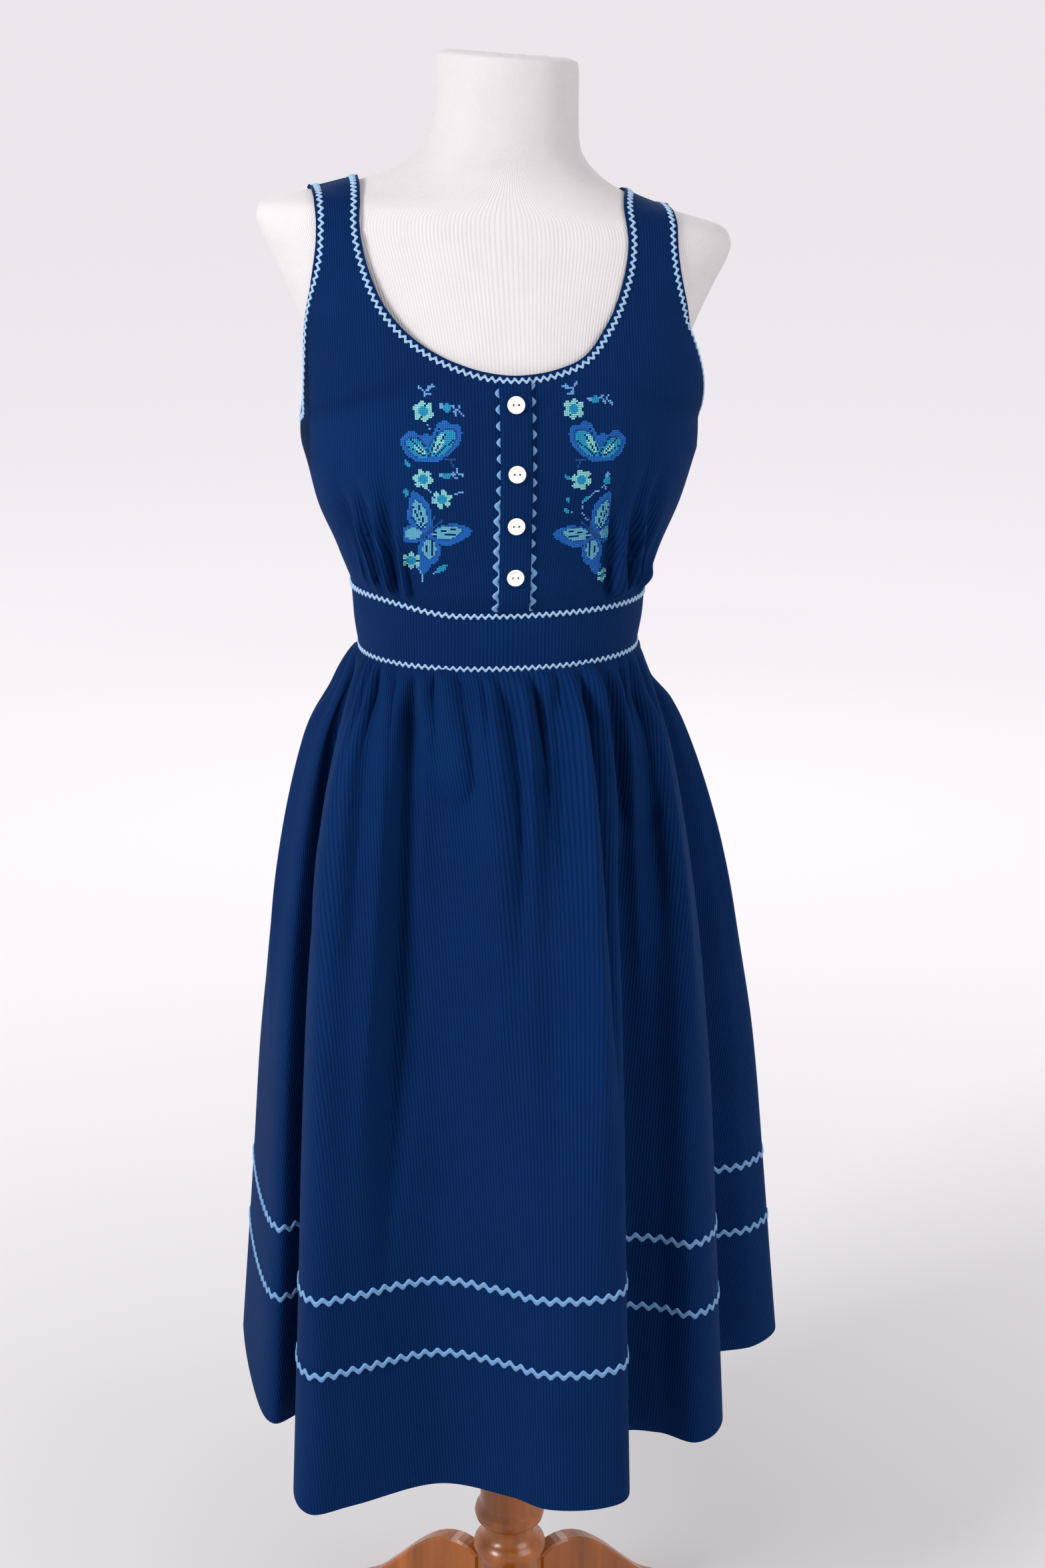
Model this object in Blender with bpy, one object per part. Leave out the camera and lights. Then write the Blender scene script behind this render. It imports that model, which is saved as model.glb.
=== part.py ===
"""Pinafore dress in fine corduroy, worn by a limbless bust form on a turned tripod stand.

Metres, +Z up, and the front of the dress faces -Y. Every sewn piece is a wall of cloth of its own,
and the wavy braid, the buttons, the form and the parts of its stand are pieces of their own.
Left and right are the wearer's: left is +X.
"""

import math
from bisect import bisect_right

import bmesh
import bpy
from mathutils import Matrix, Vector
from mathutils.bvhtree import BVHTree

# Cloth, braid and the gaps at seams
CLOTH = 0.0016
SEAM = 0.0006
BRAID = 0.0008
BRAID_LIFT = 0.0006
EDGE_BRAID_LIFT = 0.0017
NARROW_BRAID_WIDTH = 0.0050
SKIRT_BRAID_WIDTH = 0.0085
EDGE_BELOW_BRAID = 0.0025

# Room between the form and the outer face of the cloth
WAIST_ROOM = 0.0032
BODICE_ROOM = 0.0056
HIP_ROOM = 0.0070

# Heights above the floor
BAND_LOW_Z = 1.122
BAND_TOP_Z = 1.172
LOWER_BRAID_Z = 0.468
UPPER_BRAID_Z = 0.543

# The waistband is a ring that narrows downwards: half width, depth in front, depth behind
BAND_LOW = (0.125, 0.100, 0.092)
BAND_TOP = (0.131, 0.104, 0.096)
WAIST_SQUARENESS = 2.2
BAND_COLUMNS = 48

# Where the middle of the form stands, so that the whole model is centred on the floor
FORM_AXIS = (-0.022, -0.008, 0.0)
STAND_AXIS = (-0.013, -0.008, 0.0)
# The shoulders of the form sit a little askew, lower on the wearer's left
SHOULDER_TILT = math.radians(2.2)
TILT_FROM_Z, TILT_TO_Z = 1.25, 1.50
# The straps sit a little to the wearer's right
STRAP_SHIFT = -0.005
SHIFT_FROM_Z, SHIFT_TO_Z = 1.36, 1.44

# Skirt: gathers at the waist, and columns of points round it
GATHERS = 40
TOP_COLUMNS = 4 * GATHERS
HEM_COLUMNS = 2 * GATHERS

# The skirt spreads from the waistband to the hem outline as it drops
SKIRT_SPREAD = (
    # drop, spread
    (0.000, 0.000),
    (0.029, 0.135),
    (0.068, 0.290),
    (0.100, 0.390),
    (0.167, 0.525),
    (0.234, 0.620),
    (0.302, 0.695),
    (0.444, 0.797),
    (0.591, 0.880),
    (0.794, 1.000),
)
GATHER_DEPTH = (
    # drop, depth of a gather
    (0.000, 0.0012),
    (0.012, 0.0052),
    (0.045, 0.0056),
    (0.090, 0.0038),
    (0.150, 0.0000),
)
SKIRT_TOP_DROPS = (0.0, 0.012, 0.042, 0.088)
SKIRT_LOW_DROPS = (0.150, 0.240, 0.360, 0.490, 0.624, 0.700, 0.794)

# The hem as it hangs, seen from above: where each fold leaves the waist, and where it ends
HEM_FOLDS = (
    # name, waist angle, hem x, hem y
    ("centre back", -180.0, 0.000, 0.206),
    ("back crest", -169.0, -0.048, 0.224),
    ("back pocket", -155.0, -0.118, 0.150),
    ("back side crest", -141.0, -0.196, 0.220),
    ("back corner", -128.0, -0.248, 0.192),
    ("side behind", -119.0, -0.256, 0.150),
    ("side", -100.0, -0.246, 0.020),
    ("side crest", -91.0, -0.230, -0.024),
    ("side pocket", -83.0, -0.192, -0.004),
    ("panel corner", -75.0, -0.217, -0.133),
    ("panel crest", -67.0, -0.204, -0.178),
    ("panel slope", -54.0, -0.163, -0.170),
    ("panel hollow", -36.0, -0.079, -0.146),
    ("panel rise", -18.0, -0.015, -0.176),
    ("centre crest", -4.0, 0.019, -0.202),
    ("left crest", 16.0, 0.070, -0.207),
    ("left corner", 30.0, 0.099, -0.188),
    ("left pocket", 38.0, 0.107, -0.090),
    ("second rise", 50.0, 0.146, -0.092),
    ("second crest", 62.0, 0.177, -0.114),
    ("second slope", 72.0, 0.203, -0.100),
    ("second corner", 80.0, 0.217, -0.062),
    ("second pocket", 90.0, 0.216, 0.034),
    ("third rise", 100.0, 0.276, 0.050),
    ("third corner", 110.0, 0.308, 0.084),
    ("back left corner", 118.0, 0.294, 0.132),
    ("back left pocket", 127.0, 0.232, 0.124),
    ("back left crest", 141.0, 0.190, 0.214),
    ("last pocket", 155.0, 0.126, 0.150),
    ("last crest", 169.0, 0.050, 0.224),
)

# Half of the bodice: each section runs from the side or armhole edge to the middle or neckline edge
BODICE_FRONT = (
    # name, edge x, edge y, edge z, middle x, middle y, middle z, squareness
    ("waist seam", 0.1310, 0.000, 1.1726, 0.000, -0.1040, 1.1726, 2.20),
    ("blouse", 0.1400, 0.000, 1.1920, 0.000, -0.1120, 1.1900, 2.20),
    ("midriff", 0.1475, 0.000, 1.2150, 0.000, -0.1160, 1.2150, 2.20),
    ("ribs", 0.1600, 0.000, 1.2500, 0.000, -0.1210, 1.2530, 2.25),
    ("bust", 0.1685, 0.000, 1.2860, 0.000, -0.1260, 1.3000, 2.30),
    ("upper bust", 0.1740, 0.000, 1.3080, 0.000, -0.1225, 1.3420, 2.30),
    ("underarm", 0.1735, 0.000, 1.3280, 0.000, -0.1130, 1.3780, 2.30),
    ("low chest", 0.1715, -0.022, 1.3380, 0.045, -0.1080, 1.3860, 2.20),
    ("chest", 0.1700, -0.036, 1.3620, 0.078, -0.0970, 1.4030, 2.00),
    ("high chest", 0.1660, -0.044, 1.4020, 0.100, -0.0850, 1.4270, 1.70),
    ("strap foot", 0.1570, -0.050, 1.4500, 0.113, -0.0720, 1.4580, 1.40),
    ("strap", 0.1540, -0.053, 1.4840, 0.118, -0.0630, 1.4890, 1.30),
    ("strap top", 0.1540, -0.042, 1.5070, 0.1165, -0.0510, 1.5120, 1.30),
    ("shoulder", 0.1545, -0.020, 1.5170, 0.115, -0.0270, 1.5290, 1.30),
    ("shoulder seam", 0.1550, -0.0004, 1.5200, 0.1145, -0.0004, 1.5335, 1.30),
)
BODICE_BACK = (
    # name, edge x, edge y, edge z, middle x, middle y, middle z, squareness
    ("waist seam", 0.1310, 0.000, 1.1726, 0.000, 0.0960, 1.1726, 2.20),
    ("blouse", 0.1400, 0.000, 1.1920, 0.000, 0.1010, 1.1900, 2.20),
    ("midriff", 0.1475, 0.000, 1.2150, 0.000, 0.1030, 1.2150, 2.20),
    ("ribs", 0.1600, 0.000, 1.2500, 0.000, 0.1040, 1.2530, 2.25),
    ("bust", 0.1685, 0.000, 1.2860, 0.000, 0.1050, 1.3000, 2.30),
    ("upper bust", 0.1740, 0.000, 1.3080, 0.000, 0.1070, 1.3550, 2.30),
    ("underarm", 0.1735, 0.000, 1.3280, 0.000, 0.1080, 1.4100, 2.30),
    ("low chest", 0.1715, 0.022, 1.3380, 0.045, 0.1065, 1.4170, 2.20),
    ("chest", 0.1700, 0.036, 1.3620, 0.078, 0.1000, 1.4320, 2.00),
    ("high chest", 0.1660, 0.046, 1.4020, 0.100, 0.0910, 1.4500, 1.70),
    ("strap foot", 0.1570, 0.056, 1.4500, 0.113, 0.0800, 1.4720, 1.40),
    ("strap", 0.1540, 0.060, 1.4840, 0.1175, 0.0690, 1.4930, 1.30),
    ("strap top", 0.1540, 0.048, 1.5070, 0.1165, 0.0560, 1.5120, 1.30),
    ("shoulder", 0.1545, 0.022, 1.5170, 0.115, 0.0300, 1.5290, 1.30),
    ("shoulder seam", 0.1550, 0.0004, 1.5200, 0.1145, 0.0004, 1.5335, 1.30),
)
UNDERARM_ROW = 6
BODY_ROWS = (0.0, 0.4, 1.0, 1.7, 2.5, 3.3, 4.1, 5.0, 6.0)
CHEST_ROWS = (6.7, 7.4, 8.2, 9.0, 10.0, 11.0, 12.0, 12.7, 13.4, 14.0)
EDGE_STOPS = (6.0, 6.2, 6.45, 6.7, 7.05, 7.4, 7.8, 8.2, 9.0, 10.0, 11.0, 12.0, 12.7, 13.4, 14.0)
# Columns across half a front: wide ones at the side and middle, fine ones where it is tucked
SIDE_COLUMNS, TUCK_COLUMNS, MIDDLE_COLUMNS = 3, 16, 5
TUCK_START, TUCK_END = 0.24, 0.62
TUCKS = 4
TUCK_DEPTH = 0.0055
TUCK_REACH = 0.105
BACK_COLUMNS = 10

# Form: a section for each height
FORM_SECTIONS = (
    # name, z, half width, depth in front, depth behind, squareness
    ("base", 0.900, 0.1440, 0.0960, 0.1060, 2.2),
    ("hip", 0.960, 0.1500, 0.0990, 0.1100, 2.2),
    ("high hip", 1.045, 0.1370, 0.0960, 0.0980, 2.2),
    ("waist low", 1.122, 0.1210, 0.0960, 0.0880, 2.2),
    ("waist top", 1.172, 0.1265, 0.0995, 0.0915, 2.2),
    ("midriff", 1.215, 0.1370, 0.1060, 0.0930, 2.2),
    ("ribs", 1.255, 0.1470, 0.1120, 0.0940, 2.25),
    ("bust", 1.305, 0.1570, 0.1180, 0.0960, 2.3),
    ("chest", 1.378, 0.1600, 0.1070, 0.1000, 2.3),
    ("plate foot", 1.411, 0.1660, 0.0950, 0.0990, 2.3),
    ("plate", 1.450, 0.1840, 0.0810, 0.0890, 2.3),
    ("plate top", 1.480, 0.2020, 0.0720, 0.0770, 2.3),
    ("shoulder point", 1.494, 0.2080, 0.0670, 0.0710, 2.3),
    ("shoulder end", 1.503, 0.1920, 0.0630, 0.0670, 2.3),
    ("outer slope", 1.513, 0.1650, 0.0590, 0.0630, 2.3),
    ("strap slope", 1.523, 0.1380, 0.0560, 0.0600, 2.3),
    ("inner slope", 1.533, 0.1100, 0.0540, 0.0570, 2.2),
    ("neck foot", 1.546, 0.0860, 0.0530, 0.0540, 2.1),
    ("low neck", 1.566, 0.0670, 0.0550, 0.0530, 2.0),
    ("neck", 1.592, 0.0615, 0.0560, 0.0510, 2.0),
    ("neck rim", 1.626, 0.0610, 0.0560, 0.0510, 2.0),
    ("neck top", 1.632, 0.0560, 0.0510, 0.0460, 2.0),
)
FORM_COLUMNS = 32
NECK_LEAN = 0.0095
NECK_LEAN_FROM_Z, NECK_LEAN_TO_Z = 1.49, 1.60

# Placket and buttons
PLACKET_WIDTH = 0.027
PLACKET_LIFT = 0.0022
PLACKET_BRAID_OUT = 0.0036
PLACKET_BRAID_IN = 0.0014
PLACKET_TOP_ROW = 5.72
BUTTON_RADIUS = 0.0075
BUTTON_HEIGHTS = (1.354, 1.298, 1.253, 1.207)
BUTTON_SIDES = 18
BUTTON_PROFILE = (
    # share of the radius, height above the placket
    (0.86, 0.0000),
    (1.00, 0.0009),
    (1.00, 0.0020),
    (0.88, 0.0028),
    (0.68, 0.0021),
)
BUTTON_HOLE_RADIUS = 0.0010
BUTTON_HOLE_SPACING = 0.0042

# Stand: the turned column and the three legs cut from board
COLUMN_SIDES = 20
COLUMN_PROFILE = (
    # radius, height
    (0.012, 0.058),
    (0.027, 0.064),
    (0.033, 0.074),
    (0.033, 0.136),
    (0.037, 0.144),
    (0.037, 0.152),
    (0.031, 0.158),
    (0.025, 0.166),
    (0.025, 0.174),
    (0.034, 0.181),
    (0.036, 0.188),
    (0.034, 0.196),
    (0.030, 0.200),
    (0.030, 0.8994),
)
LEG_THICKNESS = 0.020
LEG_SOFT_EDGE = 0.0025
LEG_ANGLES = (-98.0, 22.0, 142.0)
LEG_REACH = 0.215
LEG_TOP = (
    # distance from the axis, height
    (0.0336, 0.122),
    (0.0460, 0.130),
    (0.0660, 0.133),
    (0.0900, 0.125),
    (0.1150, 0.105),
    (0.1400, 0.079),
    (0.1660, 0.053),
    (0.1920, 0.037),
    (0.2080, 0.026),
)
LEG_UNDERSIDE = (
    # distance from the axis, height
    (0.1760, 0.000),
    (0.1600, 0.012),
    (0.1380, 0.032),
    (0.1080, 0.056),
    (0.0720, 0.070),
    (0.0336, 0.072),
)

MATERIALS = {
    # name: colour, roughness
    "corduroy": ((0.006, 0.018, 0.085), 0.85),
    "braid": ((0.22, 0.42, 0.66), 0.75),
    "button": ((0.82, 0.78, 0.72), 0.30),
    "jersey": ((0.84, 0.81, 0.79), 0.90),
    "wood": ((0.55, 0.27, 0.10), 0.30),
}


# Curves and rings


def spline(knots, rows, at):
    """The row of numbers at a place among rows that stand at rising knots, on a smooth curve."""
    last = len(knots) - 1
    i = max(0, min(bisect_right(knots, at) - 1, last - 1))
    span = knots[i + 1] - knots[i]
    t = (at - knots[i]) / span

    def slope(j, k):
        before, after = max(j - 1, 0), min(j + 1, last)
        return (rows[after][k] - rows[before][k]) / (knots[after] - knots[before])

    ease = t * t * (3 - 2 * t)
    return [
        start * (1 - ease)
        + end * ease
        + span * (slope(i, k) * t * (1 - t) ** 2 - slope(i + 1, k) * t * t * (1 - t))
        for k, (start, end) in enumerate(zip(rows[i], rows[i + 1]))
    ]


def from_table(table, at):
    """The other columns of a table at a value of its first column."""
    return spline([row[0] for row in table], [row[1:] for row in table], at)


def power(value, exponent):
    """A signed power, which squares off a circle."""
    return math.copysign(abs(value) ** exponent, value)


def ring(angle, half_width, front, behind, squareness):
    """A point of a body ring seen from above. Angle 0 is the front, and 90 degrees is +X."""
    x = half_width * power(math.sin(angle), 2 / squareness)
    along = power(math.cos(angle), 2 / squareness)
    return x, -along * (front if along > 0 else behind)


def ramp(value, low, high):
    """0 below low, 1 above high, and smooth between them."""
    t = max(0.0, min(1.0, (value - low) / (high - low)))
    return t * t * (3 - 2 * t)


def tilted(point):
    """The point after the shoulders' tilt, which fades out below the bust."""
    drop = point.x * math.tan(SHOULDER_TILT) * ramp(point.z, TILT_FROM_Z, TILT_TO_Z)
    return Vector((point.x, point.y, point.z - drop))


# Meshes and objects


def material(name):
    """The Principled material of that name, made once."""
    found = bpy.data.materials.get(name)
    if found:
        return found
    colour, roughness = MATERIALS[name]
    made = bpy.data.materials.new(name)
    made.use_nodes = True
    shader = made.node_tree.nodes["Principled BSDF"]
    shader.inputs["Base Color"].default_value = (*colour, 1.0)
    shader.inputs["Roughness"].default_value = roughness
    shader.inputs["Metallic"].default_value = 0.0
    return made


def new_mesh(name, points, faces):
    """A mesh of those faces with doubled points made one and its faces turned outwards."""
    mesh = bpy.data.meshes.new(name)
    mesh.from_pydata([tuple(p) for p in points], [], faces)
    build = bmesh.new()
    build.from_mesh(mesh)
    bmesh.ops.remove_doubles(build, verts=build.verts, dist=0.00001)
    bmesh.ops.recalc_face_normals(build, faces=build.faces)
    outwards = sum(
        face.calc_area() * face.normal.dot((*face.calc_center_median().xy, 0.0))
        for face in build.faces
    )
    if outwards < 0:
        bmesh.ops.reverse_faces(build, faces=build.faces)
    build.to_mesh(mesh)
    build.free()
    return mesh


def new_object(name, mesh, material_name):
    """A smooth object of that mesh, standing on the form's axis."""
    mesh.materials.append(material(material_name))
    mesh.shade_smooth()
    made = bpy.data.objects.new(name, mesh)
    bpy.context.scene.collection.objects.link(made)
    made.location = FORM_AXIS
    return made


def tree_of(meshes):
    """A tree for finding the nearest place on some meshes."""
    build = bmesh.new()
    for mesh in meshes:
        build.from_mesh(mesh)
    tree = BVHTree.FromBMesh(build)
    build.free()
    return tree


def row_faces(near, far, near_start, far_start):
    """Faces between two rows of points, where the far row may have half as many columns."""
    if len(near) == len(far):
        pairs = [(near_start + c, far_start + c) for c in range(len(near) - 1)]
        return [(a, b, b + 1, a + 1) for a, b in pairs]
    faces = []
    for c in range(len(far) - 1):
        a, b = near_start + 2 * c, far_start + c
        faces += [(a, b, a + 1), (a + 1, b, b + 1), (a + 1, b + 1, a + 2)]
    return faces


def sheet_faces(rows):
    """The points and faces of a sheet given row by row, from its waist seam."""
    points, faces = [], []
    for i, row in enumerate(rows):
        points += row
        if i:
            start = len(points) - len(row)
            faces += row_faces(rows[i - 1], row, start - len(rows[i - 1]), start)
    return points, faces


def cloth_piece(name, sheets):
    """A wall of cloth. The sheets are its outer face, and its thickness goes inwards."""
    points, faces = [], []
    for sheet in sheets:
        more_points, more_faces = sheet_faces(sheet)
        faces += [tuple(i + len(points) for i in face) for face in more_faces]
        points += more_points
    made = new_object(name, new_mesh(name, points, faces), "corduroy")
    wall = made.modifiers.new("Wall", "SOLIDIFY")
    wall.thickness = CLOTH
    wall.offset = -1.0
    wall.use_even_offset = True
    wall.use_rim = True


def strip(name, stations, thickness, lift, material_name, closed=False):
    """A flat strip. Each station is the points across it and the way out of the cloth there."""
    points, faces = [], []
    across = len(stations[0][0])
    for line, out in stations:
        points += [p + out * lift for p in line]
        points += [p + out * (lift + thickness) for p in line]
    size = 2 * across
    loop = [*range(across), *range(size - 1, across - 1, -1)]
    count = len(stations)
    for s in range(count if closed else count - 1):
        here, there = size * s, size * ((s + 1) % count)
        for a, b in zip(loop, [*loop[1:], loop[0]]):
            faces.append((here + a, here + b, there + b, there + a))
    if not closed:
        faces.append(tuple(loop))
        faces.append(tuple(size * (count - 1) + i for i in loop))
    new_object(name, new_mesh(name, points, faces), material_name)


def spun(name, profile, sides, material_name):
    """A turned solid: a profile of (radius, height) from the bottom up, spun round the Z axis."""
    turn = [2 * math.pi * s / sides for s in range(sides)]
    points = [Vector((r * math.cos(a), r * math.sin(a), z)) for r, z in profile for a in turn]
    faces = [tuple(range(sides)), tuple(range(len(points) - sides, len(points)))]
    for r in range(len(profile) - 1):
        for s in range(sides):
            a, n = sides * r, (s + 1) % sides
            faces.append((a + s, a + n, a + sides + n, a + sides + s))
    made = new_object(name, new_mesh(name, points, faces), material_name)
    made.data.set_sharp_from_angle(angle=math.radians(40))
    return made


# Form and stand


def form_point(section, angle):
    z, half_width, front, behind, squareness = section
    x, y = ring(angle, half_width, front, behind, squareness)
    lean = NECK_LEAN * ramp(z, NECK_LEAN_FROM_Z, NECK_LEAN_TO_Z)
    return tilted(Vector((x + lean, y, z)))


def make_form():
    """The bust form, one smooth solid with a flat base. It returns the tree that cloth lies on."""
    turn = [2 * math.pi * c / FORM_COLUMNS for c in range(FORM_COLUMNS)]
    points = [form_point(section[1:], angle) for section in FORM_SECTIONS for angle in turn]
    faces = [tuple(range(FORM_COLUMNS)), tuple(range(len(points) - FORM_COLUMNS, len(points)))]
    for r in range(len(FORM_SECTIONS) - 1):
        for c in range(FORM_COLUMNS):
            a, n = FORM_COLUMNS * r, (c + 1) % FORM_COLUMNS
            faces.append((a + c, a + n, a + FORM_COLUMNS + n, a + FORM_COLUMNS + c))
    made = new_object("form_torso", new_mesh("form_torso", points, faces), "jersey")
    made.data.set_sharp_from_angle(angle=math.radians(50))
    return tree_of([made.data])


def off_the_form(point, form, room):
    """The point, moved out to where there is that much room between it and the form."""
    place, normal, _, _ = form.find_nearest(point)
    if (point - place).dot(normal) < room:
        return place + normal * room
    return point


def make_leg(index, angle):
    """One leg, sawn from board: its outline stands in the plane that runs out from the column."""
    steps = 3
    top = [
        spline(range(len(LEG_TOP)), LEG_TOP, i / steps)
        for i in range(steps * (len(LEG_TOP) - 1) + 1)
    ]
    under = [
        spline(range(len(LEG_UNDERSIDE)), LEG_UNDERSIDE, i / steps)
        for i in range(steps * (len(LEG_UNDERSIDE) - 1) + 1)
    ]
    outline = [*top, (LEG_REACH, 0.012), (LEG_REACH, 0.0), *under]
    half = LEG_THICKNESS / 2
    turn = Matrix.Rotation(math.radians(angle), 3, "Z")
    points = [turn @ Vector((r, side * half, z)) for side in (-1, 1) for r, z in outline]
    count = len(outline)
    faces = [tuple(range(count)), tuple(range(count, 2 * count))]
    for i in range(count):
        n = (i + 1) % count
        faces.append((i, n, count + n, count + i))
    name = f"leg_{index}"
    made = new_object(name, new_mesh(name, points, faces), "wood")
    soft = made.modifiers.new("Soft edges", "BEVEL")
    soft.width = LEG_SOFT_EDGE
    soft.segments = 1
    soft.limit_method = "ANGLE"
    soft.angle_limit = math.radians(60)
    made.location = STAND_AXIS


# Skirt


def hem_plan():
    """Places along the cut hem, (waist angle, hem x, hem y), and how far along it each one is."""
    folds = [row[1:] for row in HEM_FOLDS]
    folds.append((180.0, *folds[0][1:]))
    before = (folds[-2][0] - 360, *folds[-2][1:])
    after = (folds[1][0] + 360, *folds[1][1:])
    folds = [before, *folds, after]
    knots = [0.0]
    for a, b in zip(folds, folds[1:]):
        knots.append(knots[-1] + math.sqrt(math.dist(a[1:], b[1:])))
    samples = 1200
    places = [
        spline(knots, folds, knots[1] + (knots[-2] - knots[1]) * i / samples)
        for i in range(samples + 1)
    ]
    lengths = [0.0]
    for a, b in zip(places, places[1:]):
        lengths.append(lengths[-1] + math.dist(a[1:], b[1:]))
    return places, lengths


def gather_height(share):
    """How far the gathers stand out at a share of the way round, as a share of their depth."""
    wave = 0.5 - 0.5 * math.cos(2 * math.pi * GATHERS * share)
    uneven = math.sin(14 * math.pi * share + 1.0) * math.cos(6 * math.pi * share)
    return wave * (0.8 + 0.2 * uneven)


def skirt_point(plan, share, drop, form, shift=0.0):
    """A point of the skirt's outer face, at a share of the way round and a drop below its seam."""
    places, lengths = plan
    along = max(0.0, min(lengths[-1], share * lengths[-1] + shift))
    i = max(0, min(bisect_right(lengths, along) - 1, len(places) - 2))
    t = (along - lengths[i]) / (lengths[i + 1] - lengths[i])
    angle, hem_x, hem_y = (a + (b - a) * t for a, b in zip(places[i], places[i + 1]))
    waist_x, waist_y = ring(math.radians(angle), *BAND_LOW, WAIST_SQUARENESS)
    (spread,) = from_table(SKIRT_SPREAD, drop)
    x = waist_x + (hem_x - waist_x) * spread
    y = waist_y + (hem_y - waist_y) * spread
    if drop < GATHER_DEPTH[-1][0]:
        out = Vector((waist_x, waist_y)).normalized()
        (depth,) = from_table(GATHER_DEPTH, drop)
        stand = depth * gather_height(share)
        x, y = x + out.x * stand, y + out.y * stand
    point = Vector((x, y, BAND_LOW_Z - SEAM - drop))
    return off_the_form(point, form, min(HIP_ROOM, WAIST_ROOM + drop))


def make_skirt(plan, form):
    """The three panels of the skirt, and the grid of points that its braid is laid on."""
    panels = {
        "skirt_back_right": (0.00, 0.25),
        "skirt_front": (0.25, 0.75),
        "skirt_back_left": (0.75, 1.00),
    }
    for name, (first, last) in panels.items():
        rows = []
        for drop in (*SKIRT_TOP_DROPS, *SKIRT_LOW_DROPS):
            whole = TOP_COLUMNS if drop in SKIRT_TOP_DROPS else HEM_COLUMNS
            columns = round((last - first) * whole)
            (spread,) = from_table(SKIRT_SPREAD, drop)
            parting = SEAM / 2 * (1 + 3 * (1 - spread))
            row = []
            for c in range(columns + 1):
                shift = parting if c == 0 else -parting if c == columns else 0.0
                share = first + (last - first) * c / columns
                row.append(skirt_point(plan, share, drop, form, shift))
            rows.append(row)
        cloth_piece(name, [rows])
    return {
        drop: [skirt_point(plan, c / HEM_COLUMNS, drop, form) for c in range(HEM_COLUMNS)]
        for drop in SKIRT_LOW_DROPS
    }


def make_skirt_braid(name, z, grid):
    """A row of braid round the skirt, between two rows of the skirt's own points."""
    drop = BAND_LOW_Z - SEAM - z
    above = max(d for d in grid if d < drop)
    below = min(d for d in grid if d > drop)
    stations = []
    for c in range(HEM_COLUMNS):
        high, low = grid[above][c], grid[below][c]
        before, after = grid[above][c - 1], grid[above][(c + 1) % HEM_COLUMNS]
        out = (high - low).cross(before - after).normalized()
        line = []
        for side in (-0.5, 0.5):
            t = (drop + side * SKIRT_BRAID_WIDTH - above) / (below - above)
            line.append(high.lerp(low, t))
        stations.append((line, out))
    strip(name, stations, BRAID, BRAID_LIFT, "braid", closed=True)


# Waistband


def band_point(angle, z):
    t = (z - BAND_LOW_Z) / (BAND_TOP_Z - BAND_LOW_Z)
    sizes = [low + (top - low) * t for low, top in zip(BAND_LOW, BAND_TOP)]
    return Vector((*ring(angle, *sizes, WAIST_SQUARENESS), z))


def make_waistband():
    """The waistband with its braid, all open by a hair at the centre back where the zip is."""
    slit = SEAM / 2 / BAND_TOP[2]
    angles = [-math.pi + 2 * math.pi * c / BAND_COLUMNS for c in range(BAND_COLUMNS + 1)]
    angles[0] += slit
    angles[-1] -= slit
    rows = [[band_point(a, z) for a in angles] for z in (BAND_TOP_Z, BAND_LOW_Z)]
    cloth_piece("waistband", [rows])
    for name, low in (
        ("braid_waist_upper", BAND_TOP_Z - NARROW_BRAID_WIDTH - SEAM),
        ("braid_waist_lower", BAND_LOW_Z + SEAM),
    ):
        stations = []
        for angle in angles:
            line = [band_point(angle, low), band_point(angle, low + NARROW_BRAID_WIDTH)]
            near = band_point(angle + 0.01, low) - band_point(angle - 0.01, low)
            stations.append((line, near.cross(line[1] - line[0]).normalized()))
        strip(name, stations, BRAID, BRAID_LIFT, "braid")


# Bodice


def front_columns():
    """Places across half a front, from the side (0) to the middle (1)."""
    side = [TUCK_START * c / SIDE_COLUMNS for c in range(SIDE_COLUMNS)]
    width = TUCK_END - TUCK_START
    tucks = [TUCK_START + width * c / TUCK_COLUMNS for c in range(TUCK_COLUMNS)]
    middle = [TUCK_END + (1 - TUCK_END) * c / MIDDLE_COLUMNS for c in range(MIDDLE_COLUMNS + 1)]
    return [*side, *tucks, *middle]


def tuck_stand(across, height):
    """How far the front stands out in a tuck. The tucks fade out above the waist."""
    if not TUCK_START < across < TUCK_END:
        return 0.0
    place = (across - TUCK_START) / (TUCK_END - TUCK_START)
    wave = 0.5 - 0.5 * math.cos(2 * math.pi * TUCKS * place)
    fade = 1 - ramp(height, 0.0, TUCK_REACH * (0.55 + 0.45 * math.sin(math.pi * place)))
    root = 0.35 + 0.65 * ramp(height, 0.0, 0.012)
    return TUCK_DEPTH * wave * fade * root


def section_of(table, at):
    """The sizes of a section at a place between the named ones. Below the underarm it is whole."""
    sizes = spline(range(len(table)), [row[1:] for row in table], at)
    if at <= UNDERARM_ROW:
        sizes[1], sizes[3] = 0.0, 0.0
    return sizes


def bodice_point(table, at, across, side, form, tucked=False):
    """A point of half a bodice, at a section (by number) and a place across it."""
    edge_x, edge_y, edge_z, mid_x, mid_y, mid_z, squareness = section_of(table, at)
    turn = across * math.pi / 2
    to_middle = power(math.sin(turn), 2 / squareness)
    to_edge = power(math.cos(turn), 2 / squareness)
    x = mid_x + (edge_x - mid_x) * to_edge
    y = edge_y + (mid_y - edge_y) * to_middle
    z = edge_z + (mid_z - edge_z) * (1 - abs(math.cos(turn)) ** 1.5)
    if tucked:
        out = Vector((x, y)).normalized() * tuck_stand(across, z - BAND_TOP_Z)
        x, y = x + out.x, y + out.y
    askew = STRAP_SHIFT * ramp(z, SHIFT_FROM_Z, SHIFT_TO_Z)
    point = tilted(Vector((side * x + askew, y, z)))
    return off_the_form(point, form, WAIST_ROOM if at == 0 else BODICE_ROOM)


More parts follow.
